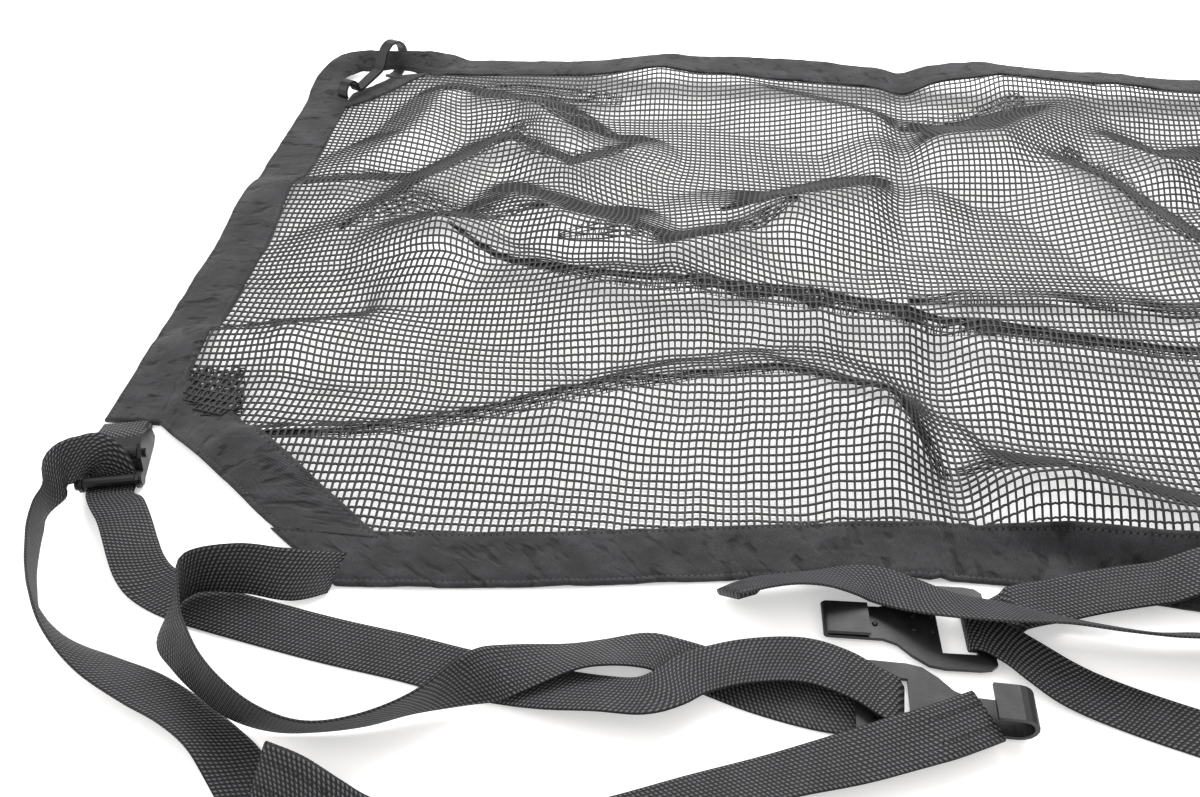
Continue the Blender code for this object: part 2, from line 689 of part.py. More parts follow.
def bored(body, cutters):
    """Cut the cutters' shapes out of a body and hide them."""
    for cutter in cutters:
        cutter.hide_render = True
        cutter.display_type = "WIRE"
        modifier = body.modifiers.new("bore", "BOOLEAN")
        modifier.operation = "DIFFERENCE"
        modifier.object = cutter


def across_solid(name, profile, half, side, look):
    """A solid with one profile in p and r that runs right across the buckle."""
    bm = bmesh.new()
    extruded(bm, profile, -half, half)
    return buckle_piece(name, bm, side, look)


def cam_buckle(word, side, look):
    """One cam buckle: frame with two ears, base and tab bar; nose roller; lever pin; lever."""
    outer = EAR_OUTER
    inner = EAR_OUTER - EAR_THICK
    ears = []
    for low, high in ((-outer, -inner), (inner, outer)):
        bm = bmesh.new()
        extruded(bm, EAR_PROFILE, low, high)
        ears.append(bm)
    frame = buckle_piece(f"buckle_frame_{word}", ears[0], side, look)
    joined = [
        buckle_piece(f"ear_{word}", ears[1], side, look),
        across_solid(f"base_{word}", BASE_PROFILE, outer - 1, side, look),
        across_solid(f"tab_bar_{word}", round_profile(*TAB_BAR), outer - 1, side, look),
    ]
    union(frame, joined)
    roller_hole = round_profile(*ROLLER, ROLLER_NECK + BORE_PLAY)
    pin_hole = round_profile(*PIVOT, PIN_RADIUS + BORE_PLAY)
    cutters = [
        across_solid(f"roller_hole_{word}", roller_hole, outer + 2, side, look),
        across_solid(f"pin_hole_{word}", pin_hole, outer + 2, side, look),
    ]
    bored(frame, cutters)

    flange = outer + FLANGE_GAP
    shoulder = inner - FLANGE_GAP
    half_roller = [
        (flange + HEAD_THICK, ROLLER_HEAD),
        (flange, ROLLER_HEAD),
        (flange, ROLLER_NECK),
        (shoulder, ROLLER_NECK),
        (shoulder, ROLLER_RADIUS),
    ]
    buckle_piece(f"buckle_roller_{word}", turned(*ROLLER, half_roller), side, look)
    half_pin = [
        (flange + HEAD_THICK, PIN_HEAD),
        (flange, PIN_HEAD),
        (flange, PIN_RADIUS),
    ]
    buckle_piece(f"buckle_pin_{word}", turned(*PIVOT, half_pin), side, look)
    cam_lever(word, side, look)


def turned(p, r, half_stations):
    """A round piece about the axis across the buckle at p, r, from one half's (place across, radius)."""
    bm = bmesh.new()
    rings = []
    other_half = [(-q, radius) for q, radius in half_stations]
    for q, radius in other_half + half_stations[::-1]:
        rings.append([bm.verts.new((a, q, b)) for a, b in round_profile(p, r, radius)])
    for first, second in zip(rings, rings[1:]):
        for k in range(len(first)):
            n = (k + 1) % len(first)
            bm.faces.new((first[k], first[n], second[n], second[k]))
    bm.faces.new(reversed(rings[0]))
    bm.faces.new(rings[-1])
    return bm


def cam_lever(word, side, look):
    """The lever: a drum round the pin with a thumb plate, its origin on the pin's axis."""
    drum = round_profile(*PIVOT, DRUM_RADIUS, 16)
    lever = across_solid(f"buckle_lever_{word}", drum, LEVER_HALF, side, look)
    union(lever, [across_solid(f"thumb_{word}", THUMB_PROFILE, LEVER_HALF, side, look)])
    bore = round_profile(*PIVOT, PIN_RADIUS + FLANGE_GAP)
    bored(lever, [across_solid(f"lever_hole_{word}", bore, LEVER_HALF + 2, side, look)])
    axis = buckle_matrix(side) @ Vector((PIVOT[0], 0, PIVOT[1]))
    axis = Vector((axis.x - ORIGIN[0], axis.y - ORIGIN[1], axis.z)) * MM
    lever.data.transform(Matrix.Translation(-axis))
    lever.location = axis


def pressed_strip(name, rows, place, look):
    """Sheet metal from rows of points across it; a row of four points has a slot at SLOT_ROW."""
    bm = bmesh.new()
    verts = [[bm.verts.new(point) for point in row] for row in rows]
    for index, (first, second) in enumerate(zip(verts, verts[1:])):
        for k in range(len(first) - 1):
            if len(first) == 4 and k == 1 and index == SLOT_ROW:
                continue
            bm.faces.new((first[k], second[k], second[k + 1], first[k + 1]))
    bmesh.ops.transform(bm, matrix=place, verts=bm.verts)
    bmesh.ops.recalc_face_normals(bm, faces=bm.faces[:])
    made = add_object(name, bm, look)
    solid = made.modifiers.new("thickness", "SOLIDIFY")
    solid.thickness = PLATE_THICK * MM
    solid.offset = 0
    solid.use_even_offset = True


def flat_hook(name, layout, look):
    """A flat stamped hook: a slotted frame, a narrowing body, and an end bent up and back over."""
    x, y, heading, run, bend, lip = layout
    rows = []
    for along, half, slot in FLAT_PLATE:
        rows.append([(along, q, 0.0) for q in (-half, -slot, slot, half)])
    start = FLAT_PLATE[-1][0] + run
    line = [(start, 0.0)]
    for step in range(1, BEND_STEPS + 1):
        angle = math.pi * step / BEND_STEPS
        line.append((start + bend * math.sin(angle), bend - bend * math.cos(angle)))
    line.append((start - lip, 2 * bend))
    for along, up in line:
        rows.append([(along, HOOK_HALF * share, up) for share in (-1, -0.5, 0.5, 1)])
    place = Matrix.Translation((x, y, PLATE_Z)) @ Matrix.Rotation(math.radians(heading), 4, "Z")
    pressed_strip(name, rows, place, look)


def arc_points(centre, radius, angles):
    """Points on an arc, for first, last and step angles in degrees."""
    points = []
    for degrees in range(*angles):
        angle = math.radians(degrees)
        points.append((centre[0] + radius * math.cos(angle), centre[1] + radius * math.sin(angle)))
    return points


def corner_hook(word, side, look):
    """The far corner's hook: a bent strip with an open ring round the gathered sleeve and a small curl."""
    line = arc_points((0, 0), RING_RADIUS, RING_ANGLES)
    line += STEM_ROWS
    line += arc_points(CURL_CENTRE, CURL_RADIUS, CURL_ANGLES)
    rows = [[(u, q, r) for q in (-CORNER_HOOK_HALF, CORNER_HOOK_HALF)] for u, r in line]
    place = Matrix.Translation(CORNER_HOOK_AT) @ Matrix.Rotation(math.radians(CORNER_HOOK_HEADING), 4, "Z")
    if side > 0:
        place = Matrix.Diagonal((-1, 1, 1, 1)) @ place
    pressed_strip(f"hook_far_{word}", rows, place, look)


def clear_scene():
    for old in list(bpy.data.objects):
        bpy.data.objects.remove(old, do_unlink=True)


def build():
    clear_scene()
    mesh_look = material("mesh_vinyl", (0.015, 0.015, 0.017), 0.55)
    cloth_look = material("sleeve_cloth", (0.022, 0.022, 0.024), 0.85)
    web_look = material("webbing", (0.028, 0.028, 0.031), 0.8)
    metal_look = material("black_steel", (0.02, 0.02, 0.022), 0.35, 0.6)
    mesh_panel(mesh_look)
    sleeve_outer(cloth_look)
    sleeve_near(cloth_look)
    for word, side in (("left", 1), ("right", -1)):
        corner_strip(f"corner_strip_near_{word}", NEAR_CORNER, side, cloth_look)
        corner_strip(f"corner_strip_far_{word}", FAR_CORNER, side, cloth_look)
    webbing("strap_left", left_strap_rows(), web_look)
    webbing("strap_right", right_strap_rows(), web_look, doubled=(0, 12))
    webbing("strap_loose", LOOSE_STRAP, web_look, doubled=(30, 28))
    webbing("tab_left", from_buckle(TAB_ROWS), web_look)
    webbing("tab_right", mirrored(from_buckle(TAB_ROWS)), web_look)
    flat_hook("hook_near_left", NEAR_LEFT_HOOK, metal_look)
    flat_hook("hook_near_right", NEAR_RIGHT_HOOK, metal_look)
    for word, side in (("left", -1), ("right", 1)):
        corner_hook(word, side, metal_look)
        cam_buckle(word, side, metal_look)


build()
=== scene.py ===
# %% [markdown]
# # A cargo net, laid out on a white table
#
# The real thing is an open mesh of coated yarn, hemmed with a cloth sleeve, with webbing straps that run
# through flat steel hooks and cam buckles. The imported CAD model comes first. It is a fixed frame: each
# piece made below rides on one of its bodies, and most stand for one of its plain solids.

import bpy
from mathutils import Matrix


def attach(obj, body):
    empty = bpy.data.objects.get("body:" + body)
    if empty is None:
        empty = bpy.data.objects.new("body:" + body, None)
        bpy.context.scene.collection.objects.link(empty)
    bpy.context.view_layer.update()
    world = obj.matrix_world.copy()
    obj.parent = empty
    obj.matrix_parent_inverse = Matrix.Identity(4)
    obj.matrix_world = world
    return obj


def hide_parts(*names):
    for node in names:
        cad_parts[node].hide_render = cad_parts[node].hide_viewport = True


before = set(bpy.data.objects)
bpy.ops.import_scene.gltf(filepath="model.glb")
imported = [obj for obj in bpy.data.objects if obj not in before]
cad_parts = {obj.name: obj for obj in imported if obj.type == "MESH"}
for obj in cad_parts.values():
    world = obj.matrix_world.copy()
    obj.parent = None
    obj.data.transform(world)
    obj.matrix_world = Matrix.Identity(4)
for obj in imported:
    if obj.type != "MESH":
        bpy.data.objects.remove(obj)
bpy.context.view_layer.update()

# %% Tools and units
import math
from functools import partial

import bmesh
import bpy
import numpy as np
from mathutils import Matrix, Vector, noise

MM = 0.001
NET_ORIGIN_Y = -80.2  # the net's own plan, in mm, has the world's origin at (0, -80.2)

# %% [markdown]
# ## Camera
#
# The photograph was taken close to the net, from the strap side, looking down. A lens with one known
# position is simpler than a tracking constraint, and it leaves nothing live for the exporter.

# %% Camera
camera_data = bpy.data.cameras.new("camera")
camera_data.lens = 33.0
camera_data.sensor_width = 36.0
camera_data.sensor_fit = "HORIZONTAL"
camera = bpy.data.objects.new("camera", camera_data)
camera.location = (-0.1452, -0.5548, 0.421)
camera.rotation_euler = (math.radians(49), 0, math.radians(5))
bpy.context.scene.collection.objects.link(camera)
bpy.context.scene.camera = camera
print("camera at", tuple(camera.location))

# %% [markdown]
# ## The table and the light
#
# A white sheet of paper fills the frame and stays bright right up to its far edge. One broad soft light
# hangs behind and above the net, so its shadows fall towards the camera, and a weaker one on the left
# keeps them pale. The paper glows a little, because the photograph's is lit past white.

# %% A material from a few nodes
def new_material(name, roughness=0.6, metallic=0.0, specular=0.5):
    """An empty node material with its Principled shader, ready for a pattern."""
    made = bpy.data.materials.new(name)
    made.use_nodes = True
    shader = made.node_tree.nodes["Principled BSDF"]
    shader.inputs["Roughness"].default_value = roughness
    shader.inputs["Metallic"].default_value = metallic
    shader.inputs["Specular IOR Level"].default_value = specular
    return made, made.node_tree.nodes, made.node_tree.links, shader


def noise_node(nodes, links, vector, scale, detail=3.0):
    made = nodes.new("ShaderNodeTexNoise")
    made.inputs["Scale"].default_value = scale
    made.inputs["Detail"].default_value = detail
    links.new(vector, made.inputs["Vector"])
    return made.outputs["Fac"]


def ramp_node(nodes, links, factor, stops):
    """A colour ramp; stops are (place, grey or colour)."""
    made = nodes.new("ShaderNodeValToRGB")
    ramp = made.color_ramp
    for element, (place, colour) in zip(ramp.elements, (stops[0], stops[-1])):
        element.position = place
        element.color = colour if isinstance(colour, tuple) else (colour, colour, colour, 1)
    for place, colour in stops[1:-1]:
        element = ramp.elements.new(place)
        element.color = colour if isinstance(colour, tuple) else (colour, colour, colour, 1)
    links.new(factor, made.inputs["Fac"])
    return made.outputs["Color"]


def maths(nodes, links, operation, first, second=0.0):
    """One Math node; either input may be a socket or a number."""
    made = nodes.new("ShaderNodeMath")
    made.operation = operation
    for socket, value in zip(made.inputs, (first, second)):
        if isinstance(value, (int, float)):
            socket.default_value = value
        else:
            links.new(value, socket)
    return made.outputs[0]


def bump_node(nodes, links, height, shader, distance, strength=1.0):
    made = nodes.new("ShaderNodeBump")
    made.inputs["Strength"].default_value = strength
    made.inputs["Distance"].default_value = distance
    links.new(height, made.inputs["Height"])
    links.new(made.outputs["Normal"], shader.inputs["Normal"])
    return made


# %% The white table
PAPER_GLOW = 0.35


def paper_material():
    made, nodes, links, shader = new_material("white_paper", roughness=0.75, specular=0.3)
    place = nodes.new("ShaderNodeTexCoord").outputs["Object"]
    cloudy = noise_node(nodes, links, place, 2.2, 2.0)
    shade = ramp_node(nodes, links, cloudy, ((0.35, (0.86, 0.852, 0.846, 1)), (0.65, (0.9, 0.893, 0.888, 1))))
    links.new(shade, shader.inputs["Base Color"])
    shader.inputs["Emission Color"].default_value = (1.0, 0.995, 0.99, 1)
    shader.inputs["Emission Strength"].default_value = PAPER_GLOW
    return made


def add_table(size):
    bm = bmesh.new()
    bmesh.ops.create_grid(bm, x_segments=2, y_segments=2, size=size)
    mesh = bpy.data.meshes.new("table")
    bm.to_mesh(mesh)
    bm.free()
    mesh.materials.append(paper_material())
    made = bpy.data.objects.new("table", mesh)
    bpy.context.scene.collection.objects.link(made)
    return made


table = add_table(4.0)
print("table", tuple(round(side, 2) for side in table.dimensions))

# %% Lights
def add_soft_light(name, place, aim, size, power):
    data = bpy.data.lights.new(name, "AREA")
    data.shape = "RECTANGLE"
    data.size, data.size_y = size
    data.energy = power
    made = bpy.data.objects.new(name, data)
    made.location = place
    made.rotation_euler = (Vector(aim) - Vector(place)).to_track_quat("-Z", "Y").to_euler()
    bpy.context.scene.collection.objects.link(made)
    return made


add_soft_light("back_softbox", (0.15, 1.0, 1.15), (0.0, 0.0, 0.0), (1.5, 0.9), 32)
add_soft_light("left_fill", (-1.3, -0.1, 0.9), (0.0, 0.0, 0.0), (0.9, 0.9), 7)
world = bpy.data.worlds.new("studio")
world.use_nodes = True
world.node_tree.nodes["Background"].inputs["Color"].default_value = (1.0, 0.995, 0.99, 1)
world.node_tree.nodes["Background"].inputs["Strength"].default_value = 1.0
bpy.context.scene.world = world
bpy.context.scene.view_settings.view_transform = "Standard"
print("two soft lights and an even white room")

# %% [markdown]
# ## How the cloth lies
#
# The net was folded for its packet, and the folds still stand up in it. Each is a long ridge with its own
# fall on either side, and one crease down the middle pulls them flat. A height for
# every place in the plan is all that the mesh, the sleeves and the straps need to agree with each other.

# %% Folds, in mm: x0, y0, h0, x1, y1, h1, x2, y2, h2, near run-out, far run-out
FOLDS = {
    "cross_left": (-313, -10, 5, -196, -52, 20, -132, -61, 23, 70, 8),
    "cross_mid": (-132, -61, 23, -60, -66, 24, -2, -76, 19, 75, 8),
    "cross_right": (-2, -76, 19, 45, -86, 20, 170, -94, 11, 80, 8),
    "cross_end": (170, -94, 11, 290, -88, 14, 430, -80, 4, 70, 10),
    "second": (3, -36, 4, 96, -37, 6.5, 330, -42, 4, 12, 30),
    "near_a": (-385, -207, 6, -349, -204, 9, -306, -198, 9, 50, 8),
    "near_b": (-306, -198, 9, -255, -184, 12, -209, -165, 13, 60, 8),
    "near_c": (-209, -165, 13, -176, -153, 16, -130, -139, 11, 60, 8),
    "near_d": (-130, -139, 13, -84, -139, 19, -30, -165, 26, 80, 29),
    "near_e": (-30, -165, 26, -14, -190, 26, 2, -216, 12, 40, 25),
    "near_r": (8, -212, 14, 60, -221, 29, 119, -239, 20, 30, 33),
    "near_far_r": (119, -239, 20, 200, -238, 14, 300, -215, 6, 30, 25),
    "left_mid": (-428, -121, 8, -385, -113, 13, -342, -97, 6, 50, 9),
    "left_up": (-440, 50, 10, -400, 56, 13, -338, 77, 6, 60, 25),
    "diag_long": (-380, -5, 11, -330, 55, 20, -278, 150, 8, 45, 34),
    "arc": (-368, -11, 10, -308, -14, 31, -240, 12, 7, 60, 49),
    "diag_up": (-394, 86, 10, -358, 134, 17, -343, 205, 17, 40, 37),
    "top_a": (-330, 200, 12, -270, 178, 22, -236, 140, 14, 60, 41),
    "v_low": (-278, 118, 19, -231, 80, 19, -190, 126, 11, 40, 37),
    "zone": (-262, 35, 22, -225, 0, 29, -186, -2, 24, 50, 57),
    "band_left": (-225, -21, 7, -150, -26, 25, -63, 46, 6, 50, 41),
    "band_mid": (-115, 40, 12, -70, 40, 26, 2, 78, 18, 60, 45),
    "top_b": (-140, 265, 11, -80, 225, 17, 15, 180, 19, 50, 37),
    "r_top": (22, 141, 22, 90, 146, 29, 172, 242, 14, 60, 57),
    "r_diag": (90, 165, 12, 150, 100, 20, 215, -15, 18, 60, 36),
    "r_small": (178, 175, 12, 209, 130, 20, 250, 150, 10, 40, 33),
    "far_l": (-366, 246, 6, -240, 250, 11, -172, 250, 19, 50, 80),
    "far_m": (-172, 250, 19, -90, 250, 14.5, 30, 250, 9, 50, 80),
    "far_r": (40, 250, 14, 110, 250, 26, 204, 250, 19, 50, 80),
    "far_rr": (204, 250, 19, 290, 250, 15, 370, 246, 3, 50, 60),
    "right_a": (250, 60, 8, 330, 90, 16, 425, 40, 8, 60, 40),
    "right_b": (300, -180, 6, 360, -160, 12, 430, -140, 6, 60, 30),
}
CLOTH_MID = 1.5
CREST = 5.0  # how round a ridge's top is
BLEND = 5.0  # the higher, the sharper two ridges meet
CREASE_Y = (-300, -170, -75, 60, 270)  # the packet's crease runs through these y
CREASE_X = (2, 4, 14, 10, 34)  # and x
CREASE_WIDTH = 16
CROSSING_Y = -78  # the long fold crosses the crease here, and stands up in it
CROSSING_WIDTH = 26
NEAR_Y = -307
DRAWN_IN = 32  # how much the near side is drawn in at the crease


def ridge(x, y, start, end, near, far):
    """Height of one straight ridge, with a longer or shorter fall on its far side."""
    x0, y0, h0 = start
    x1, y1, h1 = end
    run_x, run_y = x1 - x0, y1 - y0
    length = math.hypot(run_x, run_y)
    t = np.clip(((x - x0) * run_x + (y - y0) * run_y) / length**2, 0, 1)
    off_x, off_y = x - (x0 + t * run_x), y - (y0 + t * run_y)
    distance = np.hypot(off_x, off_y)
    side = (off_y * run_x - off_x * run_y) / length / np.maximum(distance, 1e-9)
    far_share = np.clip(0.5 + 0.5 * side, 0, 1)
    run_out = near + (far - near) * far_share**1.5
    fall = (np.sqrt(distance**2 + CREST**2) - CREST) / run_out
    return (h0 + (h1 - h0) * t) * np.clip(1 - fall, 0, None)


def cloth_height(x, y):
    """Height of the cloth's middle surface over the table."""
    total = np.zeros(np.broadcast(x, y).shape)
    for row in FOLDS.values():
        first = ridge(x, y, row[0:3], row[3:6], row[9], row[10])
        second = ridge(x, y, row[3:6], row[6:9], row[9], row[10])
        total = total + np.maximum(first, second) ** BLEND
    off_crease = np.abs(x - np.interp(y, CREASE_Y, CREASE_X))
    crossing = np.exp(-(((y - CROSSING_Y) / CROSSING_WIDTH) ** 2))
    hollow = (0.65 - 0.45 * crossing) * np.exp(-((off_crease / CREASE_WIDTH) ** 2))
    return CLOTH_MID + total ** (1 / BLEND) * (1 - hollow)


def near_edge(x):
    """Where the near sleeve's outer edge runs; it is drawn in at the middle crease."""
    return NEAR_Y + DRAWN_IN * np.exp(-((x / 200.0) ** 2))


folds = cloth_height(*np.meshgrid(np.arange(-430.0, 431.0, 5.0), np.arange(-270.0, 251.0, 5.0)))
print("the cloth's middle stands up to", round(float(folds.max()), 1), "mm over the table")

# %% From a bmesh in the net's mm to a piece on the frame
def add_piece(name, bm, material, body="net"):
    """A finished mesh at the world's origin, riding on a body of the frame."""
    bmesh.ops.translate(bm, vec=(0, -NET_ORIGIN_Y, 0), verts=bm.verts)
    bmesh.ops.scale(bm, vec=(MM, MM, MM), verts=bm.verts)
    mesh = bpy.data.meshes.new(name)
    bm.to_mesh(mesh)
    bm.free()
    mesh.shade_smooth()
    mesh.materials.append(material)
    made = bpy.data.objects.new(name, mesh)
    bpy.context.scene.collection.objects.link(made)
    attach(made, body)
    return made


def grid_shares(count_u, count_v):
    """A bmesh grid from its operator, and each vertex's shares (u, v), from 0 to 1, along its two sides."""
    bm = bmesh.new()
    bm.loops.layers.uv.new("cloth")
    bmesh.ops.create_grid(bm, x_segments=count_u, y_segments=count_v, size=1, calc_uvs=True)
    bm.verts.ensure_lookup_table()
    shares = np.array([vert.co[:2] for vert in bm.verts]) / 2 + 0.5
    return bm, shares


def place_verts(bm, points):
    for vert, point in zip(bm.verts, points):
        vert.co = point


def give_thickness(piece, name, thickness, shares=None):
    """Solidify both ways from the middle surface, by each vertex's share of the thickness where given."""
    solid = piece.modifiers.new(name, "SOLIDIFY")
    solid.thickness = thickness * MM
    solid.offset = 0
    if shares is not None:
        group = piece.vertex_groups.new(name="thickness")
        for index, share in enumerate(shares):
            group.add([index], float(share), "REPLACE")
        solid.vertex_group = "thickness"


def uv_in_mm(piece, length, width, across):
    """Scale a piece's UV map to the cloth's own millimetres, so that its weave has one size everywhere."""
    layer = piece.data.uv_layers[0].uv
    flat = np.empty(len(layer) * 2, np.float32)
    layer.foreach_get("vector", flat)
    flat = flat.reshape(-1, 2)
    flat[:, 1] = np.interp(flat[:, 1], np.linspace(0, 1, len(across)), across)
    flat = flat * (length, width)
    layer.foreach_set("vector", flat.ravel())


# %% [markdown]
# ## The open mesh
#
# On the real net, coated yarns cross about every 4.3 mm one way and 6 mm the other, and are welded where
# they cross. They are set a little closer here, 4.05 by 5.2 mm, which gave the photograph's darkness. The
# yarn doesn't stretch, so where a fold is steep the rows bunch up as seen from above, and dark bands show
# where the mesh is drawn together. So the crossings are first set out by length along the cloth and then
# drawn towards a table of bands. Each cell of the grid is inset and its middle removed, which leaves the
# yarns, and Solidify gives them their thickness.

# %% Where the mesh is gathered: how much denser it gets, then x, y and half width along the band
GATHERS = (
    (2.0, ((-300, -14, 2), (-283, -24, 2), (-252, -36, 3), (-224, -43, 4), (-196, -48, 6), (-165, -51, 8),
        (-114, -52, 9), (-64, -60, 10), (-32, -64, 9), (0, -67, 9), (16, -72, 8), (47, -79, 7), (92, -87, 7),
        (137, -93, 6), (230, -94, 5), (400, -84, 4))),
    (1.8, ((-400, -212, 2), (-345, -205, 2), (-302, -197, 3), (-283, -189, 3), (-246, -181, 3), (-220, -173, 4),
        (-204, -162, 5), (-181, -152, 5), (-145, -142, 3), (-105, -130, 3), (-74, -123, 5), (-47, -127, 7),
        (-24, -139, 7), (-7, -153, 8), (-2, -174, 8), (1, -198, 7))),
    (1.5, ((8, -202, 6), (36, -199, 8), (64, -198, 9), (93, -202, 10), (116, -215, 10), (160, -232, 8),
        (250, -236, 5))),
    (1.2, ((-382, -1, 7), (-358, 20, 9), (-338, 34, 10), (-314, 28, 10), (-283, 20, 8), (-238, 18, 5))),
    (1.2, ((-350, 37, 6), (-331, 74, 8), (-300, 126, 10), (-279, 146, 11), (-258, 114, 12), (-233, 104, 12),
        (-206, 122, 10), (-188, 144, 6))),
    (1.3, ((-118, 46, 6), (-92, 59, 10), (-57, 82, 12), (-26, 93, 10), (6, 105, 7))),
    (1.3, ((-227, -16, 4), (-199, -8, 7), (-171, 1, 8), (-121, 14, 8), (-96, 24, 8), (-66, 42, 6))),
    (0.9, ((-350, 211, 11), (-317, 226, 12), (-291, 230, 12), (-246, 224, 13), (-201, 218, 9))),
    (0.9, ((-289, 216, 9), (-268, 193, 12), (-240, 175, 13), (-205, 163, 10))),
    (1.1, ((24, 191, 9), (45, 194, 14), (79, 199, 15), (106, 211, 14), (123, 232, 11))),
    (1.1, ((144, 158, 9), (161, 131, 14), (177, 90, 15), (190, 49, 13), (206, 21, 10), (225, 7, 9))),
    (0.9, ((187, 187, 9), (201, 168, 11), (226, 157, 10), (267, 152, 8))),
    (1.3, ((4, -40, 5), (40, -38, 6), (87, -36, 6), (135, -39, 6), (195, -44, 6), (330, -46, 5))),
    (1.2, ((-425, 58, 5), (-416, 64, 7), (-379, 75, 7), (-332, 77, 5))),
    (1.2, ((-422, -130, 4), (-402, -122, 6), (-376, -109, 5), (-346, -96, 4), (-342, -61, 5), (-334, -36, 4))),
    (0.8, ((-425, -155, 3), (-391, -155, 3), (-349, -158, 3), (-307, -164, 3))),
    (0.5, ((-197, -70, 14), (-160, -82, 14), (-121, -90, 13), (-94, -82, 10))),
    (0.7, ((-269, 81, 16), (-227, 55, 18), (-196, 43, 12))),
)
PITCH_X = 4.05
PITCH_Y = 5.2
SAMPLE = 2.0
TAUT = 0.25  # share of a slope that the yarns follow; the rest is taken up by the cells' shearing
REACH = 2.6  # how far round a band the mesh is drawn in, as a multiple of the band's half width
LONGEST_REACH = 34.0
FADE = 45.0  # length over which a band fades out at each end
MOST_DRAWN = 0.85  # share of its distance that a point may be drawn towards a band


def gathered(x, y):
    """Plan points drawn towards each band in turn; the bands themselves stay where they are."""
    for strength, band in GATHERS:
        band = np.array(band, float)
        runs = np.diff(band[:, :2], axis=0)
        lengths = np.hypot(*runs.T)
        passed = np.concatenate([[0], np.cumsum(lengths)])
        nearest = np.full(x.shape, 1.0e9)
        weights, pull_x, pull_y, half, travelled = (np.zeros(x.shape) for _ in range(5))
        for k, (run, length) in enumerate(zip(runs, lengths)):
            t = np.clip(((x - band[k, 0]) * run[0] + (y - band[k, 1]) * run[1]) / length**2, 0, 1)
            away_x, away_y = band[k, 0] + t * run[0] - x, band[k, 1] + t * run[1] - y
            distance = np.hypot(away_x, away_y)
            weight = (distance + 1.5) ** -3  # nearer runs of the band count for far more
            nearest = np.minimum(nearest, distance)
            weights += weight
            pull_x, pull_y = pull_x + away_x * weight, pull_y + away_y * weight
            half += (band[k, 2] + (band[k + 1, 2] - band[k, 2]) * t) * weight
            travelled += (passed[k] + t * length) * weight
        pull_x, pull_y, half, travelled = (total / weights for total in (pull_x, pull_y, half, travelled))
        fade = np.clip(np.minimum(travelled, passed[-1] - travelled) / FADE, 0, 1)
        share = MOST_DRAWN * strength / (1 + strength) * fade**2 * (3 - 2 * fade)
        share /= 1 + (nearest / np.minimum(REACH * half + 4, LONGEST_REACH)) ** 2
        x, y = x + pull_x * share, y + pull_y * share
    return x, y


# %% Where each yarn crossing lies
def yarn_crossings(along, away):
    """Plan places of points given by their length along the cloth, from the middle of the net."""
    xs = np.arange(-470, 471, SAMPLE)
    ys = np.arange(-310, 301, SAMPLE)
    plan_x, plan_y = np.meshgrid(xs, ys, indexing="ij")
    height = cloth_height(plan_x, plan_y)
    slope_x = np.gradient(height, SAMPLE, axis=0)
    slope_y = np.gradient(height, SAMPLE, axis=1)
    length_x = np.cumsum(np.sqrt(1 + TAUT * slope_x**2), axis=0) * SAMPLE
    length_x -= length_x[len(xs) // 2][None, :]
    length_y = np.cumsum(np.sqrt(1 + TAUT * slope_y**2), axis=1) * SAMPLE
    length_y -= length_y[:, len(ys) // 2][:, None]

    def sampled(values, x, y):
        over_x = np.clip((x - xs[0]) / SAMPLE, 0, len(xs) - 1.001)
        over_y = np.clip((y - ys[0]) / SAMPLE, 0, len(ys) - 1.001)
        i, j = over_x.astype(int), over_y.astype(int)
        a, b = over_x - i, over_y - j
        low = values[i, j] * (1 - a) + values[i + 1, j] * a
        high = values[i, j + 1] * (1 - a) + values[i + 1, j + 1] * a
        return low * (1 - b) + high * b

    x, y = along.copy(), away.copy()
    for _ in range(20):  # each length depends on both places, so they are found in small steps
        x += (along - sampled(length_x, x, y)) * 0.8
        y += (away - sampled(length_y, x, y)) * 0.8
    return gathered(x, y)


SLEEVE_IN_PLAN = 35.6  # width of the near sleeve as it lies
NEAR_CUT = (293, -267.6, 136.6, 109.6)  # inner edge of a near corner strip: |x| and y of its start, its run
FAR_CUT = 429.6 + 195.0  # |x| + y on the inner edge of a far corner strip


def inside_panel(x, y, margin):
    """True where a crossing is on the panel, or within margin mm under the sleeves."""
    near = near_edge(x) + SLEEVE_IN_PLAN - margin
    side = np.abs(x)
    start_x, start_y, run_x, run_y = NEAR_CUT
    near_corner = (side - start_x) * run_y - (y - start_y) * run_x - margin * 175  # 175 mm, the run's length
    far_corner = (side + y) - FAR_CUT - margin * 1.4
    return (side < 430 + margin) & (y > near) & (y < 250 + margin) & (near_corner < 0) & (far_corner < 0)


# %% The yarn's finish
def coated_yarn_material():
    made, nodes, links, shader = new_material("coated_yarn", roughness=0.5, specular=0.35)
    place = nodes.new("ShaderNodeTexCoord").outputs["Object"]
    cloudy = noise_node(nodes, links, place, 60.0)
    shade = ramp_node(nodes, links, cloudy, ((0.3, (0.008, 0.008, 0.009, 1)), (0.7, (0.02, 0.02, 0.022, 1))))
    links.new(shade, shader.inputs["Base Color"])
    grain = noise_node(nodes, links, place, 1800.0)
    bump_node(nodes, links, grain, shader, 0.0002)
    return made


yarn_finish = coated_yarn_material()

# %% One strip of the mesh
YARN = 1.15  # width of a yarn
YARN_THICK = 0.85
ARCH = 0.5  # how far a row yarn bows between two crossings
ARCHED_UNTIL = -40.0  # beyond this y the bow is too small to be seen


def leave_yarns(bm, width, even):
    """Inset every cell by half a yarn's width and take out its middle."""
    bm.normal_update()
    inset = bmesh.ops.inset_individual(bm, faces=bm.faces[:], thickness=width, use_even_offset=even)
    yarns = set(inset["faces"])
    bmesh.ops.delete(bm, geom=[face for face in bm.faces if face not in yarns], context="FACES")


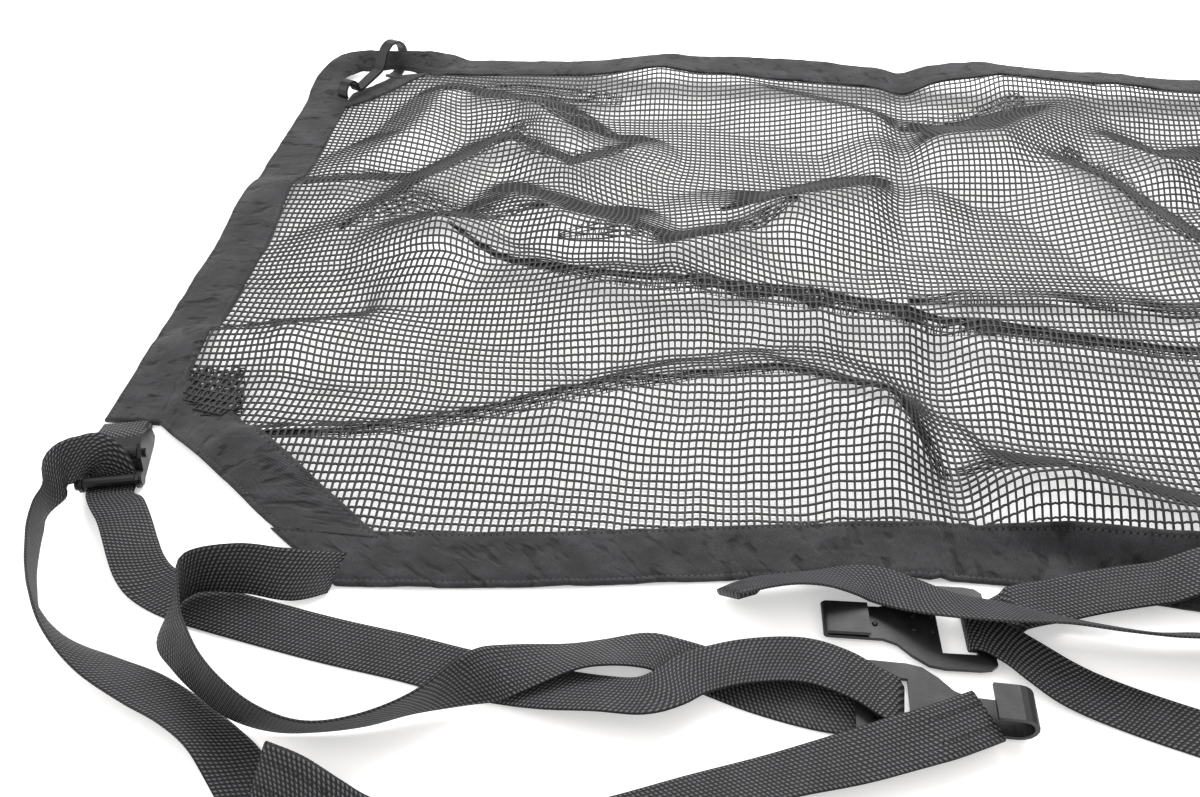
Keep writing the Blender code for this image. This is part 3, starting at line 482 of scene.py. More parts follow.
def mesh_strip(name, first_column, last_column, first_row, last_row, keep, turn=0.0, lift=0.0, middle=(0, 0)):
    """Yarns between two columns and two rows of crossings, where keep(x, y) is true."""
    columns, rows = last_column - first_column, last_row - first_row
    bm, shares = grid_shares(columns, rows)
    along = (first_column + shares[:, 0] * columns) * PITCH_X
    away = (first_row + shares[:, 1] * rows) * PITCH_Y
    turned_x = along * math.cos(turn) - away * math.sin(turn) + middle[0]
    turned_y = along * math.sin(turn) + away * math.cos(turn) + middle[1]
    x, y = yarn_crossings(turned_x, turned_y)
    place_verts(bm, np.stack([x, y, np.zeros(len(x))], axis=1))
    inside = keep(x, y)
    dropped = [face for face in bm.faces if not all(inside[vert.index] for vert in face.verts)]
    bmesh.ops.delete(bm, geom=dropped, context="FACES")
    row_yarns = []
    for edge in bm.edges:
        run = edge.verts[1].co - edge.verts[0].co
        turned_run = run.x * math.cos(turn) + run.y * math.sin(turn)
        if abs(turned_run) > 0.75 * run.length > 0 and edge.verts[0].co.y < ARCHED_UNTIL:
            row_yarns.append(edge)
    first_new = len(bm.verts)
    bmesh.ops.bisect_edges(bm, edges=row_yarns, cuts=1)
    bm.verts.ensure_lookup_table()
    for vert in bm.verts[first_new:]:
        vert.co += Vector((-math.sin(turn) * ARCH, math.cos(turn) * ARCH, 0))
    places = np.array([vert.co for vert in bm.verts])
    places[:, 2] = cloth_height(places[:, 0], places[:, 1]) + lift
    place_verts(bm, places)
    leave_yarns(bm, YARN / 2, True)
    made = add_piece(name, bm, yarn_finish)
    give_thickness(made, "yarn_thickness", YARN_THICK)
    return made


STRIP_ENDS = (-114, -57, 0, 57, 114)
PANEL_ROWS = (-61, 56)
for number, (first, last) in enumerate(zip(STRIP_ENDS, STRIP_ENDS[1:])):
    strip = mesh_strip(
        f"mesh_panel_{number + 1}", first, last, *PANEL_ROWS, lambda x, y: inside_panel(x, y, 6.0)
    )
    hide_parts("mesh_panel")
    print(strip.name, len(strip.data.polygons), "faces before their thickness")

# %% [markdown]
# ## Where the mesh lies double
#
# Two of the long folds seem to have fallen over on themselves, because they look almost solid. A narrow
# strip of bunched yarns just under the top layer gives the same look. Twelve of the other bands have one
# as well. Whether the real mesh lies double there can't be seen, so these are only a way to their darkness.

# %% Bunched yarns under the folds and the bands: x, y of the crest, then the width that lies double
LONG_FOLD = (
    (-300, -15, 2), (-250, -33, 6), (-196, -50, 14), (-132, -57, 22), (-60, -62, 25), (-2, -72, 22),
    (45, -83, 17), (110, -88, 15), (170, -92, 14), (290, -87, 11), (400, -81, 6),
)
NEAR_FOLD = (
    (-385, -207, 3), (-349, -204, 6), (-306, -198, 8), (-255, -184, 9), (-209, -165, 10), (-176, -153, 9),
    (-130, -139, 7), (-84, -134, 10), (-48, -140, 14), (-20, -155, 17), (-6, -180, 15), (3, -208, 7),
)
BUNCHED_PITCH = 3.2
BUNCHED_THICK = 0.6


def bunched_yarns(name, crest, rows, pitch, offset):
    """Rows of yarn along a crest, just under the top layer; offset is the share that lies on its far side."""
    crest = np.array(crest, float)
    length = np.concatenate([[0], np.cumsum(np.hypot(*np.diff(crest[:, :2], axis=0).T))])
    bm, shares = grid_shares(round(length[-1] / pitch), rows)
    at = shares[:, 0] * length[-1]
    x, y, width = [np.interp(at, length, crest[:, k]) for k in range(3)]
    ahead = [np.interp(at + 12, length, crest[:, k]) - np.interp(at - 12, length, crest[:, k]) for k in range(2)]
    size = np.hypot(*ahead)
    aside = (offset - shares[:, 1]) * width
    x, y = x - ahead[1] / size * aside, y + ahead[0] / size * aside
    under = 1.0 + 1.4 * (np.round(shares[:, 1] * rows) % 2)
    z = np.maximum(cloth_height(x, y) - under, 0.6)
    place_verts(bm, np.stack([x, y, z], axis=1))
    leave_yarns(bm, YARN * 0.42, False)
    # The bunched cloth's own width isn't known, so its sheet is declared from the yarns that were built:
    flat_width = 1.4 * sum(face.calc_area() for face in bm.faces) / length[-1]
    made = add_piece(name, bm, yarn_finish)
    give_thickness(made, "yarn_thickness", BUNCHED_THICK)


bunched_yarns("mesh_double_long", LONG_FOLD, 13, BUNCHED_PITCH, 0.25)
bunched_yarns("mesh_double_near", NEAR_FOLD, 9, BUNCHED_PITCH, 0.25)
PLEAT_WIDTH = 2.2  # times a band's half width
for number, (_, band) in enumerate(GATHERS[2:14]):
    inner = [(x, y, PLEAT_WIDTH * half) for x, y, half in band[1:-1]]
    bunched_yarns(f"mesh_pleat_{number + 1}", [band[0], *inner, band[-1]], 8, PITCH_X, 0.5)
print("twelve strips of bunched yarns under the other bands")

# %% [markdown]
# ## The patch in the near left corner
#
# Scraps of the same mesh lie over each other in the near left corner. A drawn pattern would have no depth,
# so they are three more strips of real yarns, each turned a little and lifted over the last.

# %% The patch: its outline, then its layers
PATCH = ((-428, -181), (-433, -151), (-396, -152), (-387, -191), (-413, -191))


def inside_patch(x, y):
    kept = np.ones(len(x), bool)
    for (x0, y0), (x1, y1) in zip(PATCH, PATCH[1:] + PATCH[:1]):
        kept &= (x - x0) * (y1 - y0) - (y - y0) * (x1 - x0) > 0
    return kept


PATCH_LAYERS = ((0.35, 1.0), (0.05, 1.6), (-0.3, 2.2))  # each layer's turn in radians and its lift in mm
for number, (turn, lift) in enumerate(PATCH_LAYERS):
    mesh_strip(f"mesh_patch_{number + 1}", -9, 9, -7, 7, inside_patch, turn, lift, (-412, -178))

# %% [markdown]
# ## Sleeve cloth
#
# The hems are strips of a finely ribbed cloth, folded double and sewn down along both edges. The stitching
# gathers them a little, so soft wrinkles run across them, and a row of thread shows near each edge. The
# weave is far finer than a millimetre, so it is drawn by the material along the strip's own UV map. The
# light and shade on the wrinkles, the ribs and the stitching are partly painted into the colour as well.

# %% Sleeve cloth finish
HEM_WIDTH = 36  # of the folded strip, in mm
RIB = 0.9
PICK = 0.5
STITCH_IN = 2.9  # from the strip's edge to its row of thread
STITCH_PITCH = 3.1


def sleeve_cloth_material(width):
    """Ribbed cloth with a row of stitches near each edge of a strip of this width."""
    made, nodes, links, shader = new_material("ribbed_cloth", roughness=0.85, specular=0.18)
    shader.inputs["Sheen Weight"].default_value = 0.14
    shader.inputs["Sheen Roughness"].default_value = 0.45
    sums = partial(maths, nodes, links)
    uv = nodes.new("ShaderNodeUVMap")
    uv.uv_map = "cloth"
    parts = nodes.new("ShaderNodeSeparateXYZ")
    links.new(uv.outputs["UV"], parts.inputs[0])
    place = nodes.new("ShaderNodeTexCoord").outputs["Object"]
    ribs = sums("SINE", sums("MULTIPLY", parts.outputs["X"], 2 * math.pi / RIB))
    picks = sums("SINE", sums("MULTIPLY", parts.outputs["Y"], 2 * math.pi / PICK))
    weave = sums("ADD", ribs, sums("MULTIPLY", picks, 0.5))
    soft = noise_node(nodes, links, place, 55.0, 2.0)
    fuzz = noise_node(nodes, links, place, 900.0, 2.0)
    stretched = nodes.new("ShaderNodeMapping")
    stretched.inputs["Scale"].default_value = (0.11, 0.07, 1)  # dents, bumped in and painted dark as their shade, are some 9 by 14 mm
    links.new(uv.outputs["UV"], stretched.inputs["Vector"])
    dents_and_painted_shade = noise_node(nodes, links, stretched.outputs["Vector"], 1.0, 1.5)
    dents_and_painted_shade = sums("MULTIPLY", sums("SUBTRACT", dents_and_painted_shade, 0.55), 7.0)
    dents_and_painted_shade = sums("MINIMUM", sums("MAXIMUM", dents_and_painted_shade, 0.0), 1.0)
    # The soft noise paints broad dark and light blotches into the colour: painted shade and light of the cloth's
    # wrinkles, which the same noise also bumps in below.
    shade = sums("ADD", sums("MULTIPLY", soft, 0.4), 0.3)
    # Each dent is painted darker: painted shade of a small wrinkle, not a stain.
    shade = sums("SUBTRACT", shade, sums("MULTIPLY", dents_and_painted_shade, 0.16))
    # The ribs are painted a little lighter on their crests than in their troughs: painted light and shade of the
    # weave.
    shade = sums("ADD", shade, sums("MULTIPLY", weave, 0.02))
    shade = sums("ADD", shade, sums("MULTIPLY", fuzz, 0.25))
    stops = ((0.42, (0.006, 0.0062, 0.007, 1)), (0.62, (0.024, 0.0245, 0.0265, 1)), (0.9, (0.075, 0.076, 0.08, 1)))
    other_edge = sums("SUBTRACT", width, parts.outputs["Y"])
    from_edge = sums("MINIMUM", parts.outputs["Y"], other_edge)
    off_line = sums("ABSOLUTE", sums("SUBTRACT", from_edge, STITCH_IN))
    on_line = sums("LESS_THAN", off_line, 0.42)
    in_stitch = sums("FRACT", sums("DIVIDE", parts.outputs["X"], STITCH_PITCH))
    thread = sums("MULTIPLY", on_line, sums("LESS_THAN", in_stitch, 0.6))
    stitch_gap_shade = sums("SUBTRACT", on_line, thread)
    # The thread is painted lighter, as painted highlight on the black thread, and the gaps between its stitches
    # darker, as painted shade in the row's groove.
    shade = sums("ADD", shade, sums("MULTIPLY", thread, 0.12))
    shade = sums("SUBTRACT", shade, sums("MULTIPLY", stitch_gap_shade, 0.3))
    links.new(ramp_node(nodes, links, shade, stops), shader.inputs["Base Color"])
    folds = sums("MULTIPLY", soft, 4.5)
    folds = sums("SUBTRACT", folds, sums("MULTIPLY", dents_and_painted_shade, 1.6))
    folds = sums("ADD", folds, sums("MULTIPLY", thread, 0.5))
    height = sums("ADD", folds, sums("MULTIPLY", weave, 0.16))
    height = sums("ADD", height, sums("MULTIPLY", fuzz, 0.25))
    bump_node(nodes, links, height, shader, 0.0009)
    return made


hem_finish = sleeve_cloth_material(HEM_WIDTH)

# %% A strip of double cloth
ACROSS = (0, 0.012, 0.035, 0.065, 0.085, 0.105, 0.2, 0.35, 0.5, 0.65, 0.8, 0.895, 0.915, 0.935, 0.965, 0.988, 1)
ACROSS_THICK = (0.3, 0.62, 0.86, 0.94, 0.72, 0.96, 1, 1, 1, 1, 1, 0.96, 0.72, 0.94, 0.86, 0.62, 0.3)


def wrinkled(along, across, seed):
    """Soft wrinkles, in mm, that run across a strip; never below where the cloth lies."""
    heights = np.empty(len(along))
    for index, (s, t) in enumerate(zip(along, across)):
        broad = noise.noise(Vector((s / 26, t / 34, seed)))
        fine = noise.noise(Vector((s / 9, t / 24, seed + 7)))
        heights[index] = 1.5 * max(0.0, broad + 0.1) + 0.8 * max(0.0, fine)
    return heights


def cloth_strip(name, surface, length, width, count, thick, seed, finish=hem_finish):
    """Double cloth whose middle surface is surface(along, across), shares from 0 to 1."""
    bm, shares = grid_shares(count, len(ACROSS) - 1)
    column = np.round(shares[:, 1] * (len(ACROSS) - 1)).astype(int)
    across = np.array(ACROSS)[column]
    points = surface(shares[:, 0], across)
    points[:, 2] += wrinkled(shares[:, 0] * length, across * width, seed)
    place_verts(bm, points)
    made = add_piece(name, bm, finish)
    uv_in_mm(made, length, width, ACROSS)
    give_thickness(made, "double_cloth", thick, np.array(ACROSS_THICK)[column])
    return made


def on_cloth(x, y):
    return np.stack([x, y, cloth_height(x, y)], axis=1)


# %% [markdown]
# ## Sleeves and corner strips
#
# One sleeve runs round the left, far and right sides, and a second one closes the near side. Four strips
# of the same cloth cross the corners. Each is a surface between an outer and an inner edge, which follows
# the folds without a cloth simulation, so that it comes out the same each time.

# %% The sleeve round the left, far and right sides; a corner row is outer x, y, z, then inner x, y, z
CORNER_ROWS = (
    (-467, 210, 4, -432, 208, 5),
    (-467, 225, 5, -436, 222, 7),
    (-466, 243, 8, -443, 237, 6),
    (-459, 262, 12, -441, 250, 4.5),
    (-446, 274, 15, -433, 259, 4),
    (-425, 273, 18, -419, 257.5, 6),
    (-402, 269.5, 19.5, -402, 257.5, 8),
    (-389, 271, 19, -389, 257, 7),
    (-372, 280, 16, -374, 254, 6),
    (-345, 286, 8, -347, 250.4, 8),
)
# How far the far edge stands above the cloth's own height there, as x and lift:
FAR_LIFTS = (
    (-345, 0), (-250, 0), (-170, 3), (-90, 8), (-40, 8), (10, 5), (33, 4), (80, 6), (120, 2), (167, 1),
    (284, 3), (345, 0),
)


def smooth_points(rows, step):
    """Points every step mm along a Catmull-Rom curve through the rows; the first three columns are the place."""
    rows = np.array(rows, float)
    padded = np.vstack([2 * rows[0] - rows[1], rows, 2 * rows[-1] - rows[-2]])
    curve = []
    for index in range(1, len(padded) - 2):
        before, start, end, after = padded[index - 1 : index + 3]
        count = max(1, round(np.linalg.norm(end[:3] - start[:3]) / step))
        for t in np.arange(count) / count:
            turn = 2 * before - 5 * start + 4 * end - after
            curve.append(
                0.5 * (2 * start + (end - before) * t + turn * t**2 + (3 * start - before - 3 * end + after) * t**3)
            )
    curve.append(padded[-2])
    return np.array(curve)


def outer_sleeve_sections():
    """Outer and inner points of the sleeve, and how far their height is the corner's own, all the way round."""
    side = [(-466, y, 0, -430.4, y, 0, 0) for y in np.linspace(-198, 200, 90)]
    corner = [(*row, 1) for row in smooth_points(CORNER_ROWS, 4)[2:-2]]
    far = []
    for x in np.linspace(-343, 343, 150):
        lift = np.interp(x, *zip(*FAR_LIFTS))
        far.append((x, 286, cloth_height(x, 286.0) + lift, x, 250.4, cloth_height(x, 250.4), 1))
    left = np.array(side + corner)
    right = left[::-1] * (-1, 1, 1, -1, 1, 1, 1)
    return np.vstack([left, far, right])


outer_sections = outer_sleeve_sections()
outer_steps = np.linalg.norm(np.diff(outer_sections[:, :2], axis=0), axis=1)
outer_length = np.concatenate([[0], np.cumsum(outer_steps)])


def outer_sleeve_surface(along, across):
    at = along * outer_length[-1]
    columns = [np.interp(at, outer_length, outer_sections[:, k]) for k in range(7)]
    x, y, z = [columns[k] + (columns[k + 3] - columns[k]) * across for k in range(3)]
    own = columns[6]
    return np.stack([x, y, z * own + cloth_height(x, y) * (1 - own)], axis=1)


outer_sleeve = cloth_strip("outer_sleeve", outer_sleeve_surface, outer_length[-1], HEM_WIDTH, 620, 2.9, 1.0)
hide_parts("sleeve_outer")
print("outer sleeve", round(outer_length[-1]), "mm long")

# %% The sleeve along the near side, with the packet's crease pinched across it
NEAR_LENGTH = 652


def near_sleeve_surface(along, across):
    x = (2 * along - 1) * (303 + 43.6 * across)
    y = near_edge(x) + SLEEVE_IN_PLAN * across
    points = on_cloth(x, y)
    off = x - (-14 + 17 * across)
    points[:, 2] += 2.4 * np.exp(-(((off - 3.6) / 3.4) ** 2)) + 1.3 * np.exp(-(((off + 7) / 5) ** 2))
    return points


near_sleeve = cloth_strip("near_sleeve", near_sleeve_surface, NEAR_LENGTH, HEM_WIDTH, 240, 2.9, 4.0)
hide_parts("sleeve_near")
print("near sleeve", NEAR_LENGTH, "mm long")

# %% The diagonal strips; their ends run into the sleeves, as they do where they are sewn in
NEAR_CORNER = ((-429.6, -201.6), (-347.0, -267.6), (-293.0, -267.6), (-429.6, -158.0))
FAR_CORNER = ((-429.6, 223.0), (-403.0, 249.6), (-375.0, 249.6), (-429.6, 195.0))
TUCK = 0.05


def corner_strip_surface(corners, side):
    outer_start, outer_end, inner_end, inner_start = [np.array(corner) for corner in corners]

    def surface(along, across):
        run = (along * (1 + 2 * TUCK) - TUCK)[:, None]
        edge_out = outer_start * (1 - run) + outer_end * run
        edge_in = inner_start * (1 - run) + inner_end * run
        plan = edge_out + (edge_in - edge_out) * across[:, None]
        return on_cloth(plan[:, 0] * side, plan[:, 1])

    return surface


corner_strips = []
for word, corners, length, width in (("near", NEAR_CORNER, 140, 34), ("far", FAR_CORNER, 58, 20)):
    finish = sleeve_cloth_material(width)
    for side, side_word in ((1, "left"), (-1, "right")):
        surface = corner_strip_surface(corners, side)
        strip = cloth_strip(
            f"corner_{word}_{side_word}", surface, length, width, length // 2, 2.3, side + 2.0, finish
        )
        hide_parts(f"corner_strip_{word}_{side_word}")
        corner_strips.append(strip)
print("corner strips", len(corner_strips))

# %% [markdown]
# ## Webbing
#
# The straps are 25 mm woven webbing, 1.5 mm thick. Each is one ribbon laid along a route: a row of the table
# is a place, the direction of the ribbon's width, and how far it leans out of level. Where it crosses the
# sleeve it is lifted over the cloth. Its two edges are rounded, and its weave shows as rows
# of small slanting beads, which the material draws along the ribbon's own length, with a painted highlight
# on each bead's crown and painted shade between them.

# %% Webbing finish
BEAD_WIDE = 1.9
BEAD_LONG = 2.1
TACK_LINES = (6.5, 17.5)  # where the zigzag rows start across the width


def webbing_material(length=0.0, tacked=(0, 0)):
    """Woven webbing; its first and last tacked mm carry two zigzag rows of thread."""
    made, nodes, links, shader = new_material("webbing_weave", roughness=0.62, specular=0.3)
    sums = partial(maths, nodes, links)
    uv = nodes.new("ShaderNodeUVMap")
    uv.uv_map = "cloth"
    parts = nodes.new("ShaderNodeSeparateXYZ")
    links.new(uv.outputs["UV"], parts.inputs[0])
    rows = sums("DIVIDE", parts.outputs["Y"], BEAD_WIDE)
    row_number = sums("FLOOR", rows)
    odd = sums("FLOORED_MODULO", row_number, 2.0)
    in_row = sums("SUBTRACT", rows, row_number)
    off_middle = sums("SUBTRACT", sums("MULTIPLY", in_row, 2.0), 1.0)
    crown = sums("SUBTRACT", 1.0, sums("POWER", off_middle, 2.0))
    along = sums("DIVIDE", parts.outputs["X"], BEAD_LONG)
    slant = sums("MULTIPLY", in_row, 0.55)
    along = sums("ADD", sums("ADD", along, slant), sums("MULTIPLY", odd, 0.5))
    beads = sums("SINE", sums("MULTIPLY", along, 2 * math.pi))
    beads = sums("ADD", sums("MULTIPLY", beads, 0.5), 0.5)
    height = sums("MULTIPLY", beads, crown)
    place = nodes.new("ShaderNodeTexCoord").outputs["Object"]
    wear = noise_node(nodes, links, place, 70.0)
    # The colour follows the beads' height, so their crowns are painted light and the gaps dark: painted highlight
    # and shade of the weave. The wear noise adds a random tone.
    shade = sums("ADD", height, sums("MULTIPLY", wear, 0.3))
    stops = ((0.15, (0.003, 0.003, 0.0036, 1)), (0.5, (0.018, 0.018, 0.02, 1)), (1.0, (0.12, 0.12, 0.127, 1)))
    zigzag = sums("PINGPONG", parts.outputs["X"], 1.6)
    at_start = sums("LESS_THAN", parts.outputs["X"], tacked[0])
    at_end = sums("GREATER_THAN", parts.outputs["X"], length - tacked[1])
    in_tack = sums("MAXIMUM", at_start, at_end if tacked[1] else 0.0)
    for line in TACK_LINES:
        off = sums("SUBTRACT", sums("SUBTRACT", parts.outputs["Y"], line), zigzag)
        on_thread = sums("LESS_THAN", sums("ABSOLUTE", off), 0.55)
        thread = sums("MULTIPLY", on_thread, in_tack)
        shade = sums("SUBTRACT", shade, sums("MULTIPLY", thread, 0.35))
        height = sums("ADD", height, sums("MULTIPLY", thread, 2.5))
    links.new(ramp_node(nodes, links, shade, stops), shader.inputs["Base Color"])
    bump_node(nodes, links, height, shader, 0.0006)
    return made


webbing_finish = webbing_material()

# %% Routes: x, y, z in mm, the width's lean in degrees, then its direction where it isn't square to the path
SLEEVE_MOUTH = (
    (-316, -303.5, 8.4, 158, 270), (-327, -307, 12, 138), (-348, -306.5, 13.4, 121), (-368, -313, 15.6, 99),
    (-371, -326, 14.8, 71), (-369, -342, 12.4, 53), (-359, -354.3, 14.2, 61), (-345, -367.8, 15.4, 73),
    (-328, -379.7, 15.6, 83), (-309, -386.3, 13.6, 99),
)
LEFT_TO_HOOK = (
    (-289, -387.6, 12.8, 113), (-268, -383.1, 13.6, 112), (-247, -373.5, 15.2, 103), (-229, -362.3, 15.4, 72),
    (-220, -355.5, 12.4, 42), (-211, -349, 8.6, 10), (-187, -339.2, 6.6, -24), (-169, -335, 7, -27),
    (-150, -330.5, 4.4, -14), (-138, -332.5, 2.2, -5), (-122, -337, 1.1, 0), (-99, -345, 0.9, 0),
    (-73, -351, 0.9, 0, 86), (-52, -352, 0.9, 0, 86), (-42.5, -352, 1.3, 0, 84), (-37.5, -351.5, 4.2, 0, 83),
    (-40, -350, 7.6, 0, 83), (-48, -346, 8.6, 0, 84), (-60, -338, 8.2, 0, 86), (-80, -332, 8, -2),
    (-106, -335, 8, -5), (-128, -343.5, 8.6, -8), (-140, -354, 11, -14), (-152, -360, 12.4, -18),
    (-169, -359, 10.4, -19), (-192, -355, 5, -10), (-214, -350, 1.2, -1), (-236, -346.5, 0.9, 0),
    (-263, -341, 0.9, 0), (-298, -335, 0.9, 0), (-336, -327, 0.9, 0), (-372, -318.5, 0.9, 0),
)
INTO_BUCKLE = (
    (-391, -311, 2, 0), (-401, -303, 4, 0), (-409, -292, 6, 0), (-416, -281, 7.5, 0), (-425, -268.5, 7, 0),
)
LEFT_TAIL = (
    (-461, -269.4, 14.6, 101), (-458.7, -283.9, 14.4, 98), (-455.2, -297.1, 13.6, 96), (-450.4, -309, 13.4, 97),
    (-445.3, -319.2, 13.6, 96), (-440.1, -328, 14.6, 96), (-433.2, -337.7, 15.8, 94), (-416.8, -351.4, 13, 68),
    (-395, -362.5, 9.2, 39), (-371.2, -371.3, 6.3, 24), (-349.1, -381.8, 6.8, 28), (-330.6, -393.4, 6.6, 26),
    (-316, -406, 1.8, 5), (-304, -421, 0.9, 0), (-294, -440.55, 0.9, 0),
)
RIGHT_TO_HOOK = (
    (289, -387, 12.4, 80), (271, -386.5, 8, 42), (257, -385, 3.2, 10), (241, -382, 0.9, 0), (222, -379, 0.9, 0),
    (175, -373, 0.9, 0), (130, -362, 0.9, 0), (89, -350, 0.9, 0), (60, -340, 1.2, 0), (40, -332, 3, 0),
    (24, -322, 5.6, 0, 75), (12, -313, 6.8, 0, 86), (2, -307, 6.6, 0, 91), (-2.6, -305.2, 4.8, 0, 91),
    (-3.2, -304.6, 2.3, 0, 91), (0.4, -303.5, 0.9, 0, 91), (12, -297, 0.9, 0, 95), (25, -290, 1.4, 0, 105),
    (42, -285, 4.6, 0, 106), (62, -281, 8.6, 0, 100), (88, -275, 9.8, 0, 96), (120, -268, 9.6, 0),
    (160, -266, 9.4, 0), (200, -272, 9.2, 0), (240, -285, 8, 0), (275, -302, 6, 0), (310, -319.5, 1.2, 0),
    (340, -322, 0.9, 0), (372, -318.5, 0.9, 0),
)
RIGHT_TAIL = (
    (437, -334, 13, 78), (427, -348, 11.4, 56), (412, -361, 8, 34), (398, -378, 5, 14), (378, -399, 2, 4),
    (345, -414, 0.9, 0), (305, -420, 0.9, 0), (268, -415, 1.6, 0), (240, -400, 3.6, 0), (219, -378, 4.2, 0),
    (200, -354, 4.8, 6), (180, -332, 8, 20), (155, -316, 11.5, 36), (128, -309, 14, 45), (103, -308, 14.6, 48),
    (83, -309, 14.6, 50), (61.5, -308, 15.4, 48), (37.5, -305.4, 16, 44), (13.5, -303, 15.6, 31),
    (-10, -299.8, 14.2, 23), (-28, -292, 10.2, 9), (-42, -286, 8.4, 5), (-54, -285, 9.4, 16),
    (-69, -287.2, 11.9, 33), (-84, -290, 12.5, 40), (-98, -293, 11.9, 39), (-108, -297.6, 12.2, 41),
    (-114, -301.1, 12.5, 43),
)
LOOSE_STRAP = (
    (-304.5, -409.6, 13.2, 48, 73), (-289.5, -414.4, 12, 40), (-275, -421, 9, 29), (-260, -426.5, 5.5, 18),
    (-240, -429.2, 2.5, 8), (-216, -428.3, 1.4, 1), (-188, -423.1, 1.5, -3), (-159, -414, 2.7, -8),
    (-126, -401.1, 4.2, -13), (-93, -389.2, 5.6, -15), (-62, -380, 9, -3), (-42, -373, 11, 3),
    (-24, -365.8, 10.8, 4), (-3, -355.4, 9.8, 4),
)
# In a buckle's own p (towards its nose), q (across) and r (up), then the width's lean and direction:
THROUGH_BUCKLE = (
    (48, 1.0, 3.6, 0, 0), (40, 0.0, 2.0, 0, 0), (35.4, 0.0, 3.6, 0, 0), (33.6, -0.5, 8.0, 0, 0),
    (30.8, -3.5, 14.0, 33, 25), (30.8, -9.0, 17.8, 38, 62), (33.5, -15.5, 17.6, 38, 84),
    (37.0, -21.5, 17.4, 44, 97),
)
TAB_ROWS = (
    (-8.75, 0, 1.8, 0, 0), (-4.5, 0, 1.9, 0, 0), (0.0, 0, 2.0, 0, 0), (5.5, 0, 2.7, 0, 0), (12.0, 0, 3.9, 0, 0),
    (14.2, 0, 7.6, 0, 0), (12.0, 0, 11.4, 0, 0), (5.5, 0, 10.4, 0, 0), (0.0, 0, 8.4, 0, 0),
    (-5.0, 0, 6.8, 0, 0),
)
BUCKLE_AT = (-447.6, -209.5)
BUCKLE_TURN = math.radians(12)


def from_buckle(rows):
    """Rows in the left buckle's p, q, r as rows in the plan."""
    pull = np.array([math.sin(BUCKLE_TURN), -math.cos(BUCKLE_TURN)])
    wide = np.array([math.cos(BUCKLE_TURN), math.sin(BUCKLE_TURN)])
    placed = []
    for p, q, r, lean, across in rows:
        x, y = np.array(BUCKLE_AT) + pull * p + wide * q
        placed.append((x, y, r, lean, across + math.degrees(BUCKLE_TURN)))
    return placed


def mirrored(rows):
    return [(-x, y, z, lean, *(180 - across for across in given)) for x, y, z, lean, *given in rows]


# %% A ribbon along a route
WEB_WIDTH = 25.0
WEB_THICK = 1.5
DOUBLED = 3.4
RIBBON_ACROSS = (0, 0.022, 0.075, 0.3, 0.5, 0.7, 0.925, 0.978, 1)
RIBBON_THICK = (0.4, 0.8, 1, 1, 1, 1, 1, 0.8, 0.4)


def across_angles(rows):
    """Fill in each row's width direction from the path, keeping it turned the same way along the strap."""
    places = np.array([row[:2] for row in rows], float)
    angles = []
    for index, row in enumerate(rows):
        given = len(row) > 4
        if not given:
            ahead = places[min(index + 1, len(rows) - 1)] - places[max(index - 1, 0)]
            angle = math.degrees(math.atan2(ahead[1], ahead[0])) + 90
        else:
            angle = row[4]
        if angles:
            turns = 360 if given else 180
            angle += turns * round((angles[-1] - angle) / turns)
        angles.append(angle)
    return angles


SLEEVE_THICK = 3.0
CLEAR_OF_CLOTH = 0.7
SEAM_X = 300.0  # beyond this the straps come out of the sleeve's end, and aren't lifted over it
IN_SEAM = (-304, -296, 2.2, 178, 262)  # the straps' first row, at the end of the near sleeve


def over_sleeve(places, widths):
    """The least height of a ribbon's middle over the near sleeve and the mesh, else zero."""
    needed = np.zeros(len(places))
    for share in (-0.55, -0.25, 0, 0.25, 0.55):
        probe = places + widths * WEB_WIDTH * share
        x, y = probe[:, 0], probe[:, 1]
        clear = cloth_height(x, y) + (SLEEVE_THICK + WEB_THICK) / 2 + CLEAR_OF_CLOTH
        clear = clear - widths[:, 2] * WEB_WIDTH * share
        needed = np.where((np.abs(x) < SEAM_X) & (y > near_edge(x) - 3), np.maximum(needed, clear), needed)
    return needed


def ribbon(name, rows, node, step=3.0, doubled=(0, 0)):
    """A webbing ribbon that replaces a CAD node; its first and last lengths may lie double."""
    filled = [(*row[:3], angle, row[3]) for row, angle in zip(rows, across_angles(rows))]
    path = smooth_points(filled, step)
    places = path[:, :3]
    angle, lean = np.radians(path[:, 3]), np.radians(path[:, 4])
    widths = np.stack([np.cos(angle) * np.cos(lean), np.sin(angle) * np.cos(lean), np.sin(lean)], axis=1)
    normals = np.cross(np.gradient(places, axis=0), widths)
    normals /= np.linalg.norm(normals, axis=1)[:, None]
    travelled = np.concatenate([[0], np.cumsum(np.linalg.norm(np.diff(places, axis=0), axis=1))])
    length = travelled[-1]
    thick = np.where((travelled < doubled[0]) | (length - travelled < doubled[1]), DOUBLED, WEB_THICK)
    low = places[:, 2] - np.abs(widths[:, 2]) * WEB_WIDTH / 2 - np.abs(normals[:, 2]) * thick / 2
    lift = np.maximum(np.maximum(0.05 - low, over_sleeve(places, widths) - places[:, 2]), 0)
    places = places + np.stack([np.zeros(len(lift)), np.zeros(len(lift)), lift], axis=1)

    bm, shares = grid_shares(len(path) - 1, len(RIBBON_ACROSS) - 1)
    station = np.round(shares[:, 0] * (len(path) - 1)).astype(int)
    column = np.round(shares[:, 1] * (len(RIBBON_ACROSS) - 1)).astype(int)
    across = np.array(RIBBON_ACROSS)[column] - 0.5
    place_verts(bm, places[station] + widths[station] * (across * WEB_WIDTH)[:, None])
    finish = webbing_material(length, doubled) if any(doubled) else webbing_finish
    made = add_piece(name, bm, finish)
    uv_in_mm(made, length, WEB_WIDTH, RIBBON_ACROSS)
    give_thickness(made, "webbing_thickness", DOUBLED, np.array(RIBBON_THICK)[column] * thick[station] / DOUBLED)
    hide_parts(node)
    print(name, round(length), "mm of webbing")
    return made


